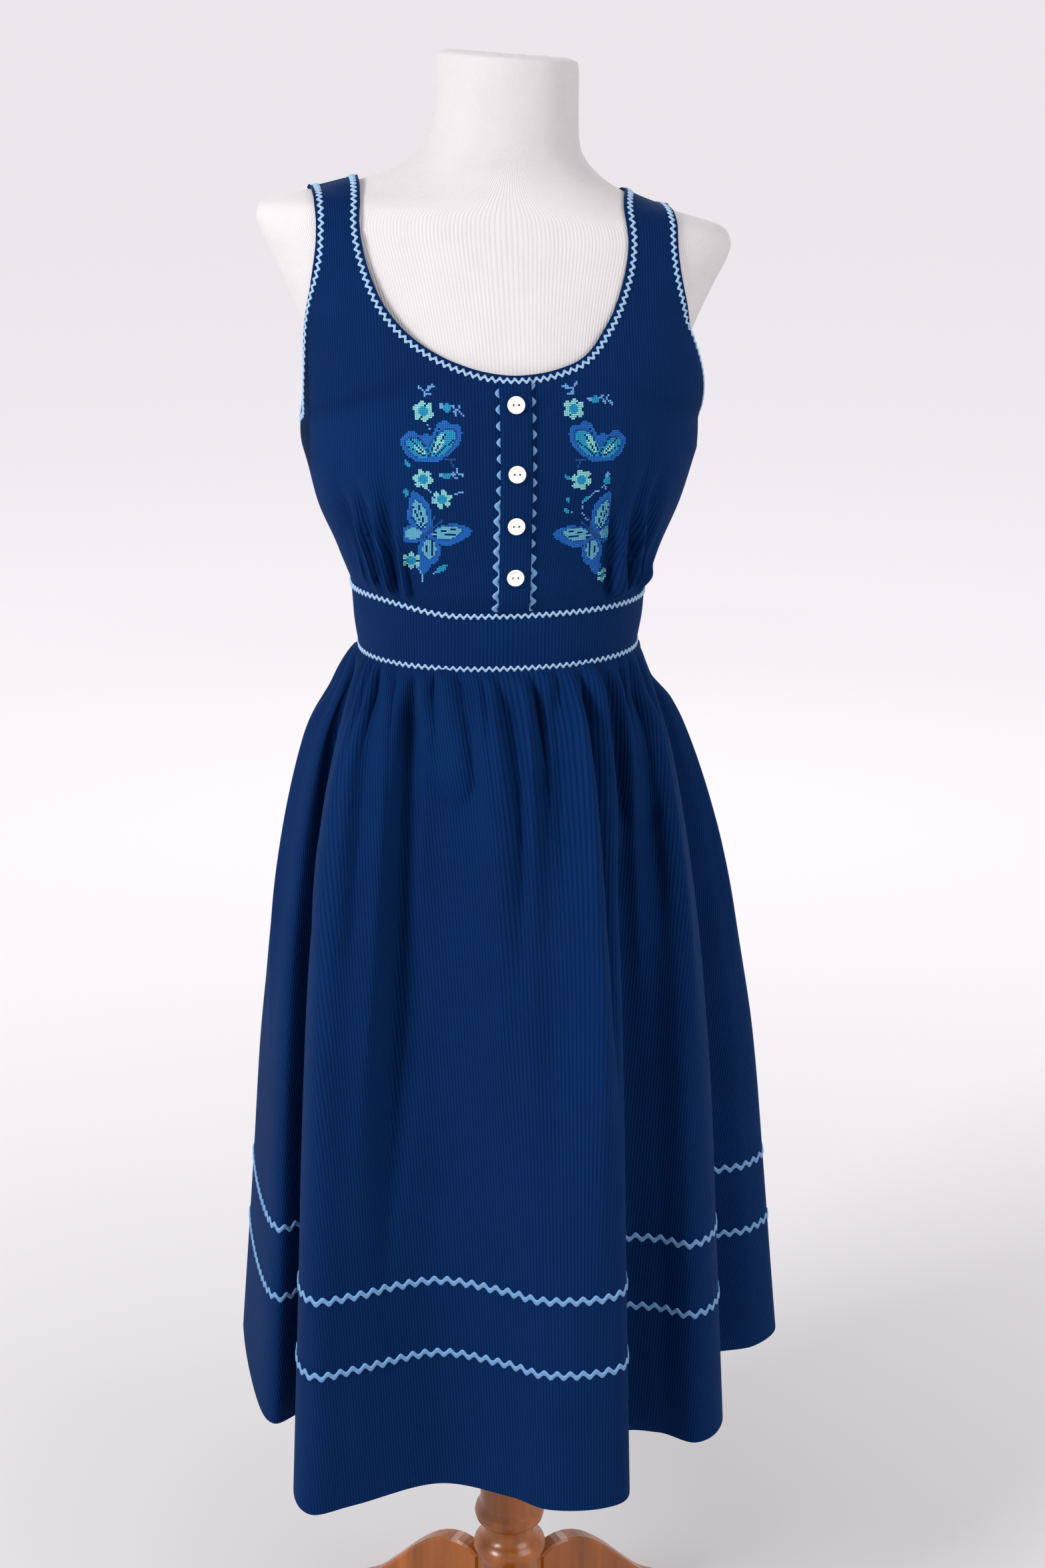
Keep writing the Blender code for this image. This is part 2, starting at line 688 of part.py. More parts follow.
def half_bodice(table, side, columns, form, tucked):
    """Rows of half a bodice from the waist up, with half as many columns above the underarm."""
    rows = [
        [bodice_point(table, at, place, side, form, tucked) for place in columns]
        for at in BODY_ROWS
    ]
    behind = table[0][5] > 0
    for row in rows:
        row[0].y += SEAM / 2 if behind else -SEAM / 2
        if behind:
            row[-1].x += side * SEAM / 2
    rows += [
        [bodice_point(table, at, place, side, form, tucked) for place in columns[::2]]
        for at in CHEST_ROWS
    ]
    return rows


def make_bodice(form):
    """The front and the two backs of the bodice, and the tree of their outer faces."""
    columns = front_columns()
    back_columns = [c / BACK_COLUMNS for c in range(BACK_COLUMNS + 1)]
    cloth_piece(
        "bodice_front", [half_bodice(BODICE_FRONT, side, columns, form, True) for side in (-1, 1)]
    )
    for name, side in (("bodice_back_right", -1), ("bodice_back_left", 1)):
        cloth_piece(name, [half_bodice(BODICE_BACK, side, back_columns, form, False)])
    names = ("bodice_front", "bodice_back_right", "bodice_back_left")
    return tree_of([bpy.data.objects[name].data for name in names])


def edge_curve(side, across, form):
    """Points along an edge of half the bodice, from the front over the shoulder to the back."""
    front = [bodice_point(BODICE_FRONT, at, across, side, form) for at in EDGE_STOPS]
    back = [bodice_point(BODICE_BACK, at, across, side, form) for at in reversed(EDGE_STOPS)]
    return [*front, *back[1:]]


def edge_braid(name, curve, cloth, closed):
    """Braid laid just inside a cut edge of the bodice. The curve runs with the cloth on its left."""
    stations = []
    count = len(curve)
    for i, point in enumerate(curve):
        before = curve[i - 1] if closed or i else point
        after = curve[(i + 1) % count] if closed or i < count - 1 else point
        _, normal, _, _ = cloth.find_nearest(point)
        inwards = normal.cross(after - before).normalized()
        line, out = [], Vector()
        for distance in (EDGE_BELOW_BRAID, EDGE_BELOW_BRAID + NARROW_BRAID_WIDTH):
            place, face_normal, _, _ = cloth.find_nearest(point + inwards * distance)
            line.append(place)
            out += face_normal
        stations.append((line, out.normalized()))
    strip(name, stations, BRAID, EDGE_BRAID_LIFT, "braid", closed)


def make_edge_braid(form, cloth):
    """Narrow braid round the neckline and both armholes."""
    left, right = (edge_curve(side, 1.0, form) for side in (1, -1))
    for curve, side in ((left, 1), (right, -1)):
        curve[-1].x += side * SEAM / 2
    edge_braid("braid_neck", [*reversed(left), *right[1:]], cloth, closed=False)
    left, right = (edge_curve(side, 0.0, form)[:-1] for side in (1, -1))
    edge_braid("braid_armhole_left", left, cloth, closed=True)
    edge_braid("braid_armhole_right", right[::-1], cloth, closed=True)


# Placket and buttons


def front_middle(at, x, form):
    """The point of the front's outer face at a section and a small distance from the middle."""
    sizes = section_of(BODICE_FRONT, at)
    across = math.acos((abs(x) / sizes[0]) ** (sizes[6] / 2)) * 2 / math.pi
    return bodice_point(BODICE_FRONT, at, across, 1 if x >= 0 else -1, form)


def outwards_at(at, form):
    """The way out of the cloth at the middle of the front."""
    up = front_middle(at + 0.05, 0.0, form) - front_middle(at - 0.05, 0.0, form)
    return Vector((1.0, 0.0, 0.0)).cross(up).normalized()


def make_placket(form):
    """The false placket down the middle of the front, with its braid under both edges."""
    stops = (0.0, 0.4, 1.0, 1.7, 2.5, 3.3, 4.1, 4.6, 5.0, 5.36, PLACKET_TOP_ROW)
    half = PLACKET_WIDTH / 2
    outer, inner = half + PLACKET_BRAID_OUT, half - PLACKET_BRAID_IN
    pieces = (
        ("placket", (-half, -half / 2, 0.0, half / 2, half), CLOTH, PLACKET_LIFT, "corduroy"),
        ("braid_placket_right", (-outer, -inner), BRAID, BRAID_LIFT, "braid"),
        ("braid_placket_left", (inner, outer), BRAID, BRAID_LIFT, "braid"),
    )
    for name, places, thickness, lift, material_name in pieces:
        stations = []
        for at in stops:
            line = [front_middle(at, x, form) for x in places]
            stations.append((line, outwards_at(max(at, 0.05), form)))
        strip(name, stations, thickness, lift, material_name)


def row_at_height(z, form):
    """The section whose middle stands at that height."""
    low, high = 0.0, float(UNDERARM_ROW)
    for _ in range(30):
        middle = (low + high) / 2
        if front_middle(middle, 0.0, form).z < z:
            low = middle
        else:
            high = middle
    return low


def make_buttons(form):
    """Four round buttons with two holes side by side, standing off the placket by a hair."""
    side = Vector((1.0, 0.0, 0.0))
    for index, z in enumerate(BUTTON_HEIGHTS, 1):
        at = row_at_height(z, form)
        out = outwards_at(at, form)
        middle = front_middle(at, 0.0, form) + out * (PLACKET_LIFT + CLOTH + SEAM / 2)
        turn = Matrix((side, out.cross(side), out)).transposed().to_4x4()
        place = Matrix.Translation(middle) @ turn
        profile = [(share * BUTTON_RADIUS, height) for share, height in BUTTON_PROFILE]
        button = spun(f"button_{index}", profile, BUTTON_SIDES, "button")
        button.data.transform(place)
        for hole, across in enumerate((-BUTTON_HOLE_SPACING / 2, BUTTON_HOLE_SPACING / 2), 1):
            drill(button, hole, place @ Matrix.Translation((across, 0.0, 0.0)))


def drill(button, hole, place):
    """A hole through a button."""
    profile = [(BUTTON_HOLE_RADIUS, -0.002), (BUTTON_HOLE_RADIUS, 0.005)]
    cutter = spun(f"{button.name}_drill_{hole}", profile, 8, "button")
    cutter.data.transform(place)
    cutter.hide_render = True
    cutter.display_type = "WIRE"
    cut = button.modifiers.new("Hole", "BOOLEAN")
    cut.operation = "DIFFERENCE"
    cut.solver = "EXACT"
    cut.object = cutter


def main():
    for old in list(bpy.data.objects):
        bpy.data.objects.remove(old)
    form = make_form()
    spun("stand_column", COLUMN_PROFILE, COLUMN_SIDES, "wood").location = STAND_AXIS
    for index, angle in enumerate(LEG_ANGLES, 1):
        make_leg(index, angle)
    plan = hem_plan()
    grid = make_skirt(plan, form)
    make_skirt_braid("braid_skirt_upper", UPPER_BRAID_Z, grid)
    make_skirt_braid("braid_skirt_lower", LOWER_BRAID_Z, grid)
    make_waistband()
    cloth = make_bodice(form)
    make_edge_braid(form, cloth)
    make_placket(form)
    make_buttons(form)


main()
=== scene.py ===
"""Looks of a pinafore dress in fine corduroy on a dress form: cloth, ricrac, cross-stitch, buttons.

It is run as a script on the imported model, and laid out as an add-on with an operator for each piece.
Metres, +Z up, and the front of the dress faces -Y. Left and right are the wearer's: left is +X.
Points are worked out round the form's axis, and each finished mesh is moved to where it stands.
"""

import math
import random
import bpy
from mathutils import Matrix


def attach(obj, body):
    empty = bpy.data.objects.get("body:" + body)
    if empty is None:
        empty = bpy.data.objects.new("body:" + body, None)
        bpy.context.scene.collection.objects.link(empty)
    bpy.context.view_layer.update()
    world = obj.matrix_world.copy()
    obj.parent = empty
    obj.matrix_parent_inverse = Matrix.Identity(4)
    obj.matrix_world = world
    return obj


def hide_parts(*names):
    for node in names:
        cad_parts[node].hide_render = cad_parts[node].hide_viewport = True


bl_info = {
    "name": "Pinafore Dress",
    "version": (1, 0, 0),
    "blender": (4, 5, 0),
    "location": "3D View > Sidebar > Pinafore",
    "description": "Sews a corduroy pinafore dress over a dress form and lights it in a pale studio",
    "category": "Add Mesh",
}

from bisect import bisect_right
from functools import cache

import bmesh
import bpy
from bpy.props import FloatProperty, FloatVectorProperty, PointerProperty
from mathutils import Matrix, Vector
from mathutils.bvhtree import BVHTree

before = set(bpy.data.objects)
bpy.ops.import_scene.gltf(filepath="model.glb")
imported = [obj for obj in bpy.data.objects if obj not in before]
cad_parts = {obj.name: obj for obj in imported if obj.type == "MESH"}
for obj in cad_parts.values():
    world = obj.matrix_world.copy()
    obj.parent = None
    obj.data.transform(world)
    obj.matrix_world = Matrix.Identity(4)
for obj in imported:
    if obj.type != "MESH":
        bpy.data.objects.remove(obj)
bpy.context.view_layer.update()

# Where the middle of the form and of its stand are on the floor
FORM_AXIS = Vector((-0.022, -0.008, 0.0))
STAND_AXIS = Vector((-0.013, -0.008, 0.0))
SHOULDER_TILT = math.radians(4.0)
TILT_FROM_Z, TILT_TO_Z = 1.25, 1.50
STRAP_SHIFT = -0.005
SHIFT_FROM_Z, SHIFT_TO_Z = 1.36, 1.44

# Cloth: how thick it is, and how far it is parted or turned in at a seam
CLOTH = 0.0016
SEAM = 0.0006
SEAM_GAP = 0.00006
TURNED_IN = 0.0022
TURNED_DEPTH = 0.004
SAME_POINT = 0.00002
CLOTH_EDGE = math.radians(60)
TURNED_EDGE = math.radians(40)

# Room between the form and the outer face of the cloth
WAIST_ROOM = 0.0032
BODICE_ROOM = 0.0038
STRAP_ROOM = 0.0027
HIP_ROOM = 0.0070
BODICE_ROOM_SECTIONS = (8, 10)

# A place on the cloth is looked for from this far out, and this far in
LAID_FROM, LAID_REACH = 0.012, 0.030

# Waistband. Its low and top edges have a half width, a depth in front and a depth behind
BAND_LOW_Z = 1.122
BAND_TOP_Z = 1.172
BAND_LOW = (0.127, 0.100, 0.092)
BAND_TOP = (0.133, 0.104, 0.096)
WAIST_SQUARENESS = 2.2
BAND_OVERLAP = 0.0028
BAND_COLUMNS = 192
BAND_ROWS = 12
BAND_BELLY = 0.0008
BAND_WAVER = 0.0005
BAND_CARRIED_ON = 0.008
BAND_RICRAC_BELOW_TOP = 0.0031
BAND_RICRAC_BELOW_FOOT = 0.0014
BAND_OPENING_ANGLE = 0.003

# How much higher the waist seam stands at the wearer's right side, and where that fades out
RIGHT_LIFT = 0.0105
LIFT_FROM_X, LIFT_TO_X = 0.045, 0.125
LIFT_FADES_OVER = 0.10

# Skirt
SKIRT_LENGTH = 0.794
GATHERS = 40
QUARTER_COLUMNS = 165
GATHERED_ROWS = 36
HANGING_ROWS = 56
GATHERED_DROP = 0.150
HEM_SAMPLES = 1200
TOP_SHARE_OF_CUT = 0.63
OUT_OF_BAND_FROM, OUT_OF_BAND_TO = 0.002, 0.006
SKIRT_SPREAD = (
    # drop, spread
    (0.000, 0.000),
    (0.029, 0.135),
    (0.068, 0.287),
    (0.100, 0.390),
    (0.167, 0.525),
    (0.234, 0.620),
    (0.302, 0.695),
    (0.444, 0.797),
    (0.591, 0.880),
    (0.794, 1.000),
)
HELD_IN_AT_LEFT = (
    # drop, share by which the spread is less at the wearer's left
    (0.000, 0.50),
    (0.030, 0.41),
    (0.100, 0.22),
    (0.200, 0.12),
    (0.300, 0.06),
    (0.440, 0.00),
    (0.794, 0.00),
)
LEFT_FROM_X, LEFT_TO_X = 0.12, 0.28
GATHER_DEPTH = (
    # drop, depth of a gather
    (0.000, 0.0000),
    (0.004, 0.0008),
    (0.011, 0.0066),
    (0.030, 0.0090),
    (0.055, 0.0062),
    (0.110, 0.0022),
    (0.180, 0.0000),
)
GATHER_SEED = 23
GATHER_WIDTHS = (0.65, 1.45)
GATHER_DEPTH_SHARES = (0.65, 1.2)
GATHER_RUNS = (0.55, 0.8, 1.0, 1.3)
GATHER_ROUNDNESS = 0.85
GATHER_SUNK = 0.30
SHALLOWER_AT_SIDES = 0.45
SIDES_FROM, SIDES_TO = 0.15, 0.22
HEM_FOLDS = (
    # name, waist angle, hem x, hem y
    ("centre back", -180.0, 0.000, 0.206),
    ("back crest", -169.0, -0.048, 0.224),
    ("back pocket", -155.0, -0.118, 0.150),
    ("back side crest", -141.0, -0.196, 0.220),
    ("back corner", -128.0, -0.248, 0.192),
    ("side behind", -119.0, -0.256, 0.150),
    ("side", -100.0, -0.246, 0.020),
    ("side crest", -91.0, -0.230, -0.024),
    ("side pocket", -83.0, -0.192, -0.004),
    ("panel corner", -75.0, -0.217, -0.133),
    ("panel crest", -67.0, -0.204, -0.178),
    ("panel slope", -54.0, -0.163, -0.170),
    ("panel hollow", -36.0, -0.079, -0.146),
    ("panel rise", -18.0, -0.015, -0.176),
    ("centre crest", -4.0, 0.019, -0.202),
    ("left crest", 16.0, 0.070, -0.207),
    ("left corner", 30.0, 0.099, -0.188),
    ("left pocket", 38.0, 0.107, -0.090),
    ("second rise", 50.0, 0.146, -0.092),
    ("second crest", 62.0, 0.177, -0.114),
    ("second slope", 72.0, 0.203, -0.100),
    ("second corner", 80.0, 0.217, -0.062),
    ("second pocket", 90.0, 0.216, 0.034),
    ("third rise", 100.0, 0.276, 0.050),
    ("third corner", 110.0, 0.308, 0.084),
    ("back left corner", 118.0, 0.294, 0.132),
    ("back left pocket", 127.0, 0.232, 0.124),
    ("back left crest", 141.0, 0.190, 0.214),
    ("last pocket", 155.0, 0.126, 0.150),
    ("last crest", 169.0, 0.050, 0.224),
)
CREASE_REACH = 3.0
SKIRT_CREASE_ROUNDNESS = 1.5
SKIRT_CREASE_FADES_FROM = 0.45
CREASE_STARTS_AT, CREASE_FULL_AT, CREASE_FULL_SHARE = 0.002, 0.020, 0.05
POUCH_FOOT_ROUNDNESS = 0.60
SKIRT_CREASES = (
    # name, top angle, top drop, foot angle, foot drop, half width, height (below 0 a valley)
    ("dark valley", -40.5, 0.0, -47.0, 0.64, 0.013, -0.0190),
    ("ridge left of it", -47.5, 0.0, -55.0, 0.56, 0.020, 0.0110),
    ("left soft valley", -56.5, 0.0, -57.0, 0.30, 0.009, -0.0080),
    ("left long ridge", -63.0, 0.03, -66.0, 0.56, 0.016, 0.0080),
    ("pouch ridge", -35.0, 0.0, -41.0, 0.30, 0.010, 0.0085),
    ("pouch right valley", -15.0, 0.0, -22.0, 0.13, 0.0070, -0.0085),
    ("ridge beside the pouch", -10.0, 0.0, -20.0, 0.60, 0.020, 0.0115),
    ("middle valley", -1.5, 0.0, -11.0, 0.34, 0.009, -0.0120),
    ("middle ridge", 2.5, 0.0, -4.0, 0.26, 0.009, 0.0085),
    ("broad hollow", 4.0, 0.06, 0.0, 0.60, 0.024, -0.0090),
    ("second valley", 7.0, 0.0, 2.0, 0.18, 0.006, -0.0090),
    ("third valley", 13.0, 0.0, 7.5, 0.24, 0.008, -0.0100),
    ("ridge before the step", 20.0, 0.0, 18.0, 0.64, 0.016, 0.0120),
    ("step valley", 26.0, 0.0, 28.0, 0.46, 0.007, -0.0140),
    ("ridge past the step", 31.0, 0.0, 31.5, 0.22, 0.009, 0.0070),
    ("valley past the step", 37.0, 0.0, 35.0, 0.34, 0.009, -0.0100),
    ("right ridge", 45.0, 0.0, 46.0, 0.40, 0.013, 0.0100),
    ("right valley", 53.0, 0.0, 55.0, 0.30, 0.009, -0.0110),
    ("far right ridge", 64.0, 0.03, 68.0, 0.44, 0.013, 0.0080),
    ("left side valley", -84.0, 0.0, -80.0, 0.34, 0.010, -0.0080),
    ("left back ridge", -102.0, 0.04, -104.0, 0.44, 0.016, 0.0080),
    ("left back valley", -122.0, 0.0, -120.0, 0.46, 0.012, -0.0130),
    ("back ridge", -146.0, 0.0, -150.0, 0.40, 0.016, 0.0100),
    ("back valley", -162.0, 0.0, -160.0, 0.46, 0.011, -0.0130),
    ("back middle ridge", -174.0, 0.0, -172.0, 0.34, 0.014, 0.0090),
    ("back far ridge", 172.0, 0.0, 170.0, 0.34, 0.013, 0.0085),
    ("back far valley", 160.0, 0.0, 161.0, 0.50, 0.011, -0.0140),
    ("back right ridge", 146.0, 0.0, 150.0, 0.42, 0.016, 0.0100),
    ("right back valley", 124.0, 0.0, 121.0, 0.42, 0.012, -0.0130),
    ("right side ridge", 104.0, 0.04, 106.0, 0.40, 0.014, 0.0080),
    ("right side valley", 88.0, 0.0, 90.0, 0.30, 0.010, -0.0080),
)
SKIRT_POUCHES = (
    # name, angle, drop, half width, half height, height
    ("pouch under the band", -27.0, 0.058, 0.027, 0.060, 0.0100),
    ("left pouch", -68.0, 0.160, 0.034, 0.100, 0.0040),
    ("right pouch", 48.0, 0.100, 0.022, 0.060, 0.0070),
    ("back left pouch", 150.0, 0.090, 0.030, 0.070, 0.0070),
    ("back right pouch", -135.0, 0.110, 0.032, 0.080, 0.0060),
)

# Half of the bodice: each section runs from the side or armhole edge to the middle or neckline edge
BODICE_FRONT = (
    # name, edge x, edge y, edge z, middle x, middle y, middle z, squareness
    ("waist seam", 0.1330, 0.000, 1.1726, 0.000, -0.1040, 1.1726, 2.20),
    ("blouse", 0.1400, 0.000, 1.1920, 0.000, -0.1120, 1.1900, 2.20),
    ("midriff", 0.1475, 0.000, 1.2150, 0.000, -0.1160, 1.2150, 2.20),
    ("ribs", 0.1600, 0.000, 1.2500, 0.000, -0.1210, 1.2530, 2.25),
    ("bust", 0.1685, 0.000, 1.2860, 0.000, -0.1260, 1.3000, 2.30),
    ("upper bust", 0.1740, 0.000, 1.3080, 0.000, -0.1225, 1.3420, 2.30),
    ("underarm", 0.1735, 0.000, 1.3280, 0.000, -0.1130, 1.3780, 2.30),
    ("low chest", 0.1730, -0.022, 1.3380, 0.045, -0.1080, 1.3860, 2.20),
    ("chest", 0.1728, -0.036, 1.3620, 0.078, -0.0970, 1.4030, 2.00),
    ("high chest", 0.1685, -0.044, 1.4020, 0.100, -0.0850, 1.4270, 1.70),
    ("strap foot", 0.1570, -0.050, 1.4500, 0.113, -0.0720, 1.4580, 1.40),
    ("strap", 0.1540, -0.053, 1.4820, 0.118, -0.0630, 1.4870, 1.30),
    ("strap top", 0.1540, -0.042, 1.5030, 0.1165, -0.0510, 1.5080, 1.30),
    ("shoulder", 0.1545, -0.020, 1.5110, 0.115, -0.0270, 1.5220, 1.30),
    ("shoulder seam", 0.1550, -0.0001, 1.5138, 0.1145, -0.0001, 1.5262, 1.30),
)
BODICE_BACK = (
    # name, edge x, edge y, edge z, middle x, middle y, middle z, squareness
    ("waist seam", 0.1330, 0.000, 1.1726, 0.000, 0.0960, 1.1726, 2.20),
    ("blouse", 0.1400, 0.000, 1.1920, 0.000, 0.1010, 1.1900, 2.20),
    ("midriff", 0.1475, 0.000, 1.2150, 0.000, 0.1030, 1.2150, 2.20),
    ("ribs", 0.1600, 0.000, 1.2500, 0.000, 0.1040, 1.2530, 2.25),
    ("bust", 0.1685, 0.000, 1.2860, 0.000, 0.1050, 1.3000, 2.30),
    ("upper bust", 0.1740, 0.000, 1.3080, 0.000, 0.1070, 1.3550, 2.30),
    ("underarm", 0.1735, 0.000, 1.3280, 0.000, 0.1080, 1.4100, 2.30),
    ("low chest", 0.1700, 0.022, 1.3380, 0.045, 0.1065, 1.4170, 2.20),
    ("chest", 0.1665, 0.036, 1.3620, 0.078, 0.1000, 1.4320, 2.00),
    ("high chest", 0.1630, 0.046, 1.4020, 0.100, 0.0910, 1.4500, 1.70),
    ("strap foot", 0.1570, 0.056, 1.4500, 0.113, 0.0800, 1.4720, 1.40),
    ("strap", 0.1540, 0.060, 1.4820, 0.1175, 0.0690, 1.4910, 1.30),
    ("strap top", 0.1540, 0.048, 1.5030, 0.1165, 0.0560, 1.5080, 1.30),
    ("shoulder", 0.1545, 0.022, 1.5110, 0.115, 0.0300, 1.5220, 1.30),
    ("shoulder seam", 0.1550, 0.0001, 1.5138, 0.1145, 0.0001, 1.5262, 1.30),
)
SECTION_SAG = 1.5
LEFT_FULLNESS = 0.0055
LEFT_FULL_AT_X = 0.17
LEFT_FULL_Z = (1.19, 1.30, 1.37, 1.43)
LEFT_STRAP_FULLNESS = 0.0085
LEFT_STRAP_SECTIONS = (7.0, 8.6, 12.0, 14.0)
BUST_ROW = 4
UNDERARM_ROW = 6
SHOULDER_ROW = 14
EASED_FROM, EASED_TO, EASINGS = 9.0, 4.6, 60
ROWS_A_SECTION = 10
HALF_COLUMNS = 64
TUCK_START, TUCK_END = 0.24, 0.62
TUCKS = 4
TUCK_DEPTH = 0.0045
TUCK_REACH = 0.105
TUCK_SHORTEST, TUCK_LONGER = 0.55, 0.45
TUCK_IN_SEAM, TUCK_OUT_OF_SEAM, TUCK_OUT_AT = 0.35, 0.65, 0.012
BODICE_CREASE_ROUNDNESS = 1.6
BODICE_CREASE_FADES_FROM = 0.50
BODICE_CREASE_LEAD, BODICE_CREASE_FULL = 0.1, 0.3
BODICE_CREASE_CLEAR = 0.016
IN_WAIST_SEAM_Z = 1.18
BODICE_CREASES = (
    # name, foot x, foot z, top x, top z, half width, height (below 0 a valley)
    ("left deep tuck", 0.0868, 1.170, 0.0848, 1.275, 0.0042, -0.0110),
    ("left tuck ridge", 0.0940, 1.170, 0.0990, 1.275, 0.0062, 0.0095),
    ("left second tuck", 0.1015, 1.170, 0.1130, 1.262, 0.0045, -0.0110),
    ("left second ridge", 0.1080, 1.170, 0.1230, 1.275, 0.0058, 0.0095),
    ("left third tuck", 0.1130, 1.172, 0.1360, 1.310, 0.0060, -0.0105),
    ("left fold towards the arm", 0.0980, 1.200, 0.1270, 1.330, 0.0065, -0.0070),
    ("left high fold", 0.0900, 1.240, 0.1100, 1.345, 0.0080, -0.0035),
    ("left puff over the band", 0.1150, 1.186, 0.1350, 1.196, 0.0090, 0.0050),
    ("right deep tuck", -0.0965, 1.170, -0.1150, 1.295, 0.0050, -0.0125),
    ("right tuck ridge", -0.0915, 1.170, -0.1020, 1.290, 0.0055, 0.0085),
    ("right inner tuck", -0.0862, 1.170, -0.0950, 1.235, 0.0032, -0.0080),
    ("right second ridge", -0.1030, 1.170, -0.1230, 1.285, 0.0055, 0.0095),
    ("right second tuck", -0.1090, 1.170, -0.1380, 1.305, 0.0055, -0.0120),
    ("right third ridge", -0.1160, 1.172, -0.1440, 1.290, 0.0055, 0.0085),
    ("right third tuck", -0.1210, 1.172, -0.1530, 1.300, 0.0060, -0.0100),
    ("right high fold", -0.0980, 1.235, -0.1180, 1.340, 0.0080, -0.0035),
    ("right side fold", -0.1320, 1.230, -0.1500, 1.330, 0.0080, -0.0035),
    ("right pull from the neckline", -0.0190, 1.348, -0.0540, 1.3730, 0.0040, -0.0018),
    ("left pull from the neckline", 0.0190, 1.346, 0.0460, 1.3720, 0.0040, -0.0016),
    ("right strap fold", -0.1180, 1.462, -0.1560, 1.470, 0.0030, -0.0024),
    ("right strap upper fold", -0.1180, 1.494, -0.1560, 1.500, 0.0030, -0.0022),
    ("left strap fold", 0.1080, 1.472, 0.1500, 1.466, 0.0030, -0.0024),
)
BACK_CREASES = (
    # name, foot x, foot z, top x, top z, half width, height (below 0 a valley)
    ("left back dart", 0.0620, 1.170, 0.0660, 1.270, 0.0040, -0.0035),
    ("left back fold", 0.0930, 1.170, 0.1180, 1.285, 0.0070, -0.0035),
    ("left back ridge", 0.0780, 1.170, 0.0900, 1.270, 0.0080, 0.0030),
    ("right back dart", -0.0620, 1.170, -0.0660, 1.270, 0.0040, -0.0035),
    ("right back fold", -0.0930, 1.170, -0.1180, 1.285, 0.0070, -0.0035),
    ("right back ridge", -0.0780, 1.170, -0.0900, 1.270, 0.0080, 0.0030),
)

# Placket and buttons
PLACKET_HALF = 0.0135
PLACKET_PROFILE = (
    # share of the half width, height above the bodice
    (1.00, 0.0002),
    (1.01, 0.0014),
    (0.99, 0.0026),
    (0.93, 0.0032),
    (0.60, 0.0034),
    (0.00, 0.0034),
)
PLACKET_TOP_ROW = 5.985
PLACKET_ROWS = 60
PLACKET_CLOTH = 0.0010
PLACKET_RIB_SHIFT = 0.0014
PLACKET_END_ROWS = 3
PLACKET_TOP_FLATNESS = 0.45
PLACKET_FOOT_FLATNESS = 0.35
PLACKET_BRAID_FROM, PLACKET_BRAID_RUN = 0.06, PLACKET_TOP_ROW - 0.20
FRONT_STEP, FRONT_END = 0.1, 5.98
IN_WAIST_SEAM_TO_ROW = 0.5
BUTTON_LIFT = 0.0038
BUTTON_HEIGHTS = (1.354, 1.298, 1.253, 1.207)
HEIGHT_HALVINGS = 30
BUTTON_RADIUS = 0.0075
BUTTON_PROFILE = (
    # share of the radius, height
    (0.80, 0.0000),
    (0.96, 0.0004),
    (1.00, 0.0011),
    (0.99, 0.0019),
    (0.95, 0.0025),
    (0.89, 0.0028),
    (0.83, 0.0027),
    (0.76, 0.0022),
    (0.66, 0.0019),
)
BUTTON_SIDES = 64
BUTTON_HOLE_RADIUS = 0.0011
BUTTON_HOLE_SPACING = 0.0042
DRILL_SIDES = 20
DRILL_LENGTH = 0.012
BUTTON_THREAD_RADIUS = 0.00034
BUTTON_THREAD_Z, BUTTON_THREAD_RISE = 0.0019, 0.0006
BUTTON_THREAD_ARCH = (
    # share of the way to a hole, share of the rise
    (-1.0, -2.2),
    (-0.9, 0.2),
    (-0.45, 1.0),
    (0.45, 1.0),
    (0.9, 0.2),
    (1.0, -2.2),
)

# Ricrac: length of a wave, reach of the wave from its middle line, and strand measured across
NARROW_RICRAC = (0.0063, 0.00140, 0.0030)
WIDE_RICRAC = (0.0138, 0.00245, 0.0052)
SKIRT_RICRAC = (0.0121, 0.00230, 0.0056)
RICRAC_THICKNESS = 0.0010
RICRAC_LIFT = 0.0003
RICRAC_RIB_PITCH = 0.00055
STATIONS_A_WAVE = 14
BAND_STEPS = 240
BAND_ASIDE = 0.01
EDGE_STEPS_A_SECTION = 12
EDGE_SPACING = 0.001
EDGE_EASINGS = 3
PLACKET_RICRAC = {
    # side: shown where little shows, shown low down, where it changes
    -1: (0.0034, 0.0057, 3.2, 3.8),
    1: (0.0038, 0.0060, 1.9, 2.5),
}
RICRAC_PROFILE = (
    # across the strand, height
    (-1.00, 0.10),
    (-0.80, 0.75),
    (0.00, 1.00),
    (0.80, 0.75),
    (1.00, 0.10),
    (0.90, -0.40),
    (-0.90, -0.40),
)
EDGE_TO_RICRAC = 0.0050
LOWER_RICRAC_Z = 0.468
UPPER_RICRAC_Z = 0.543

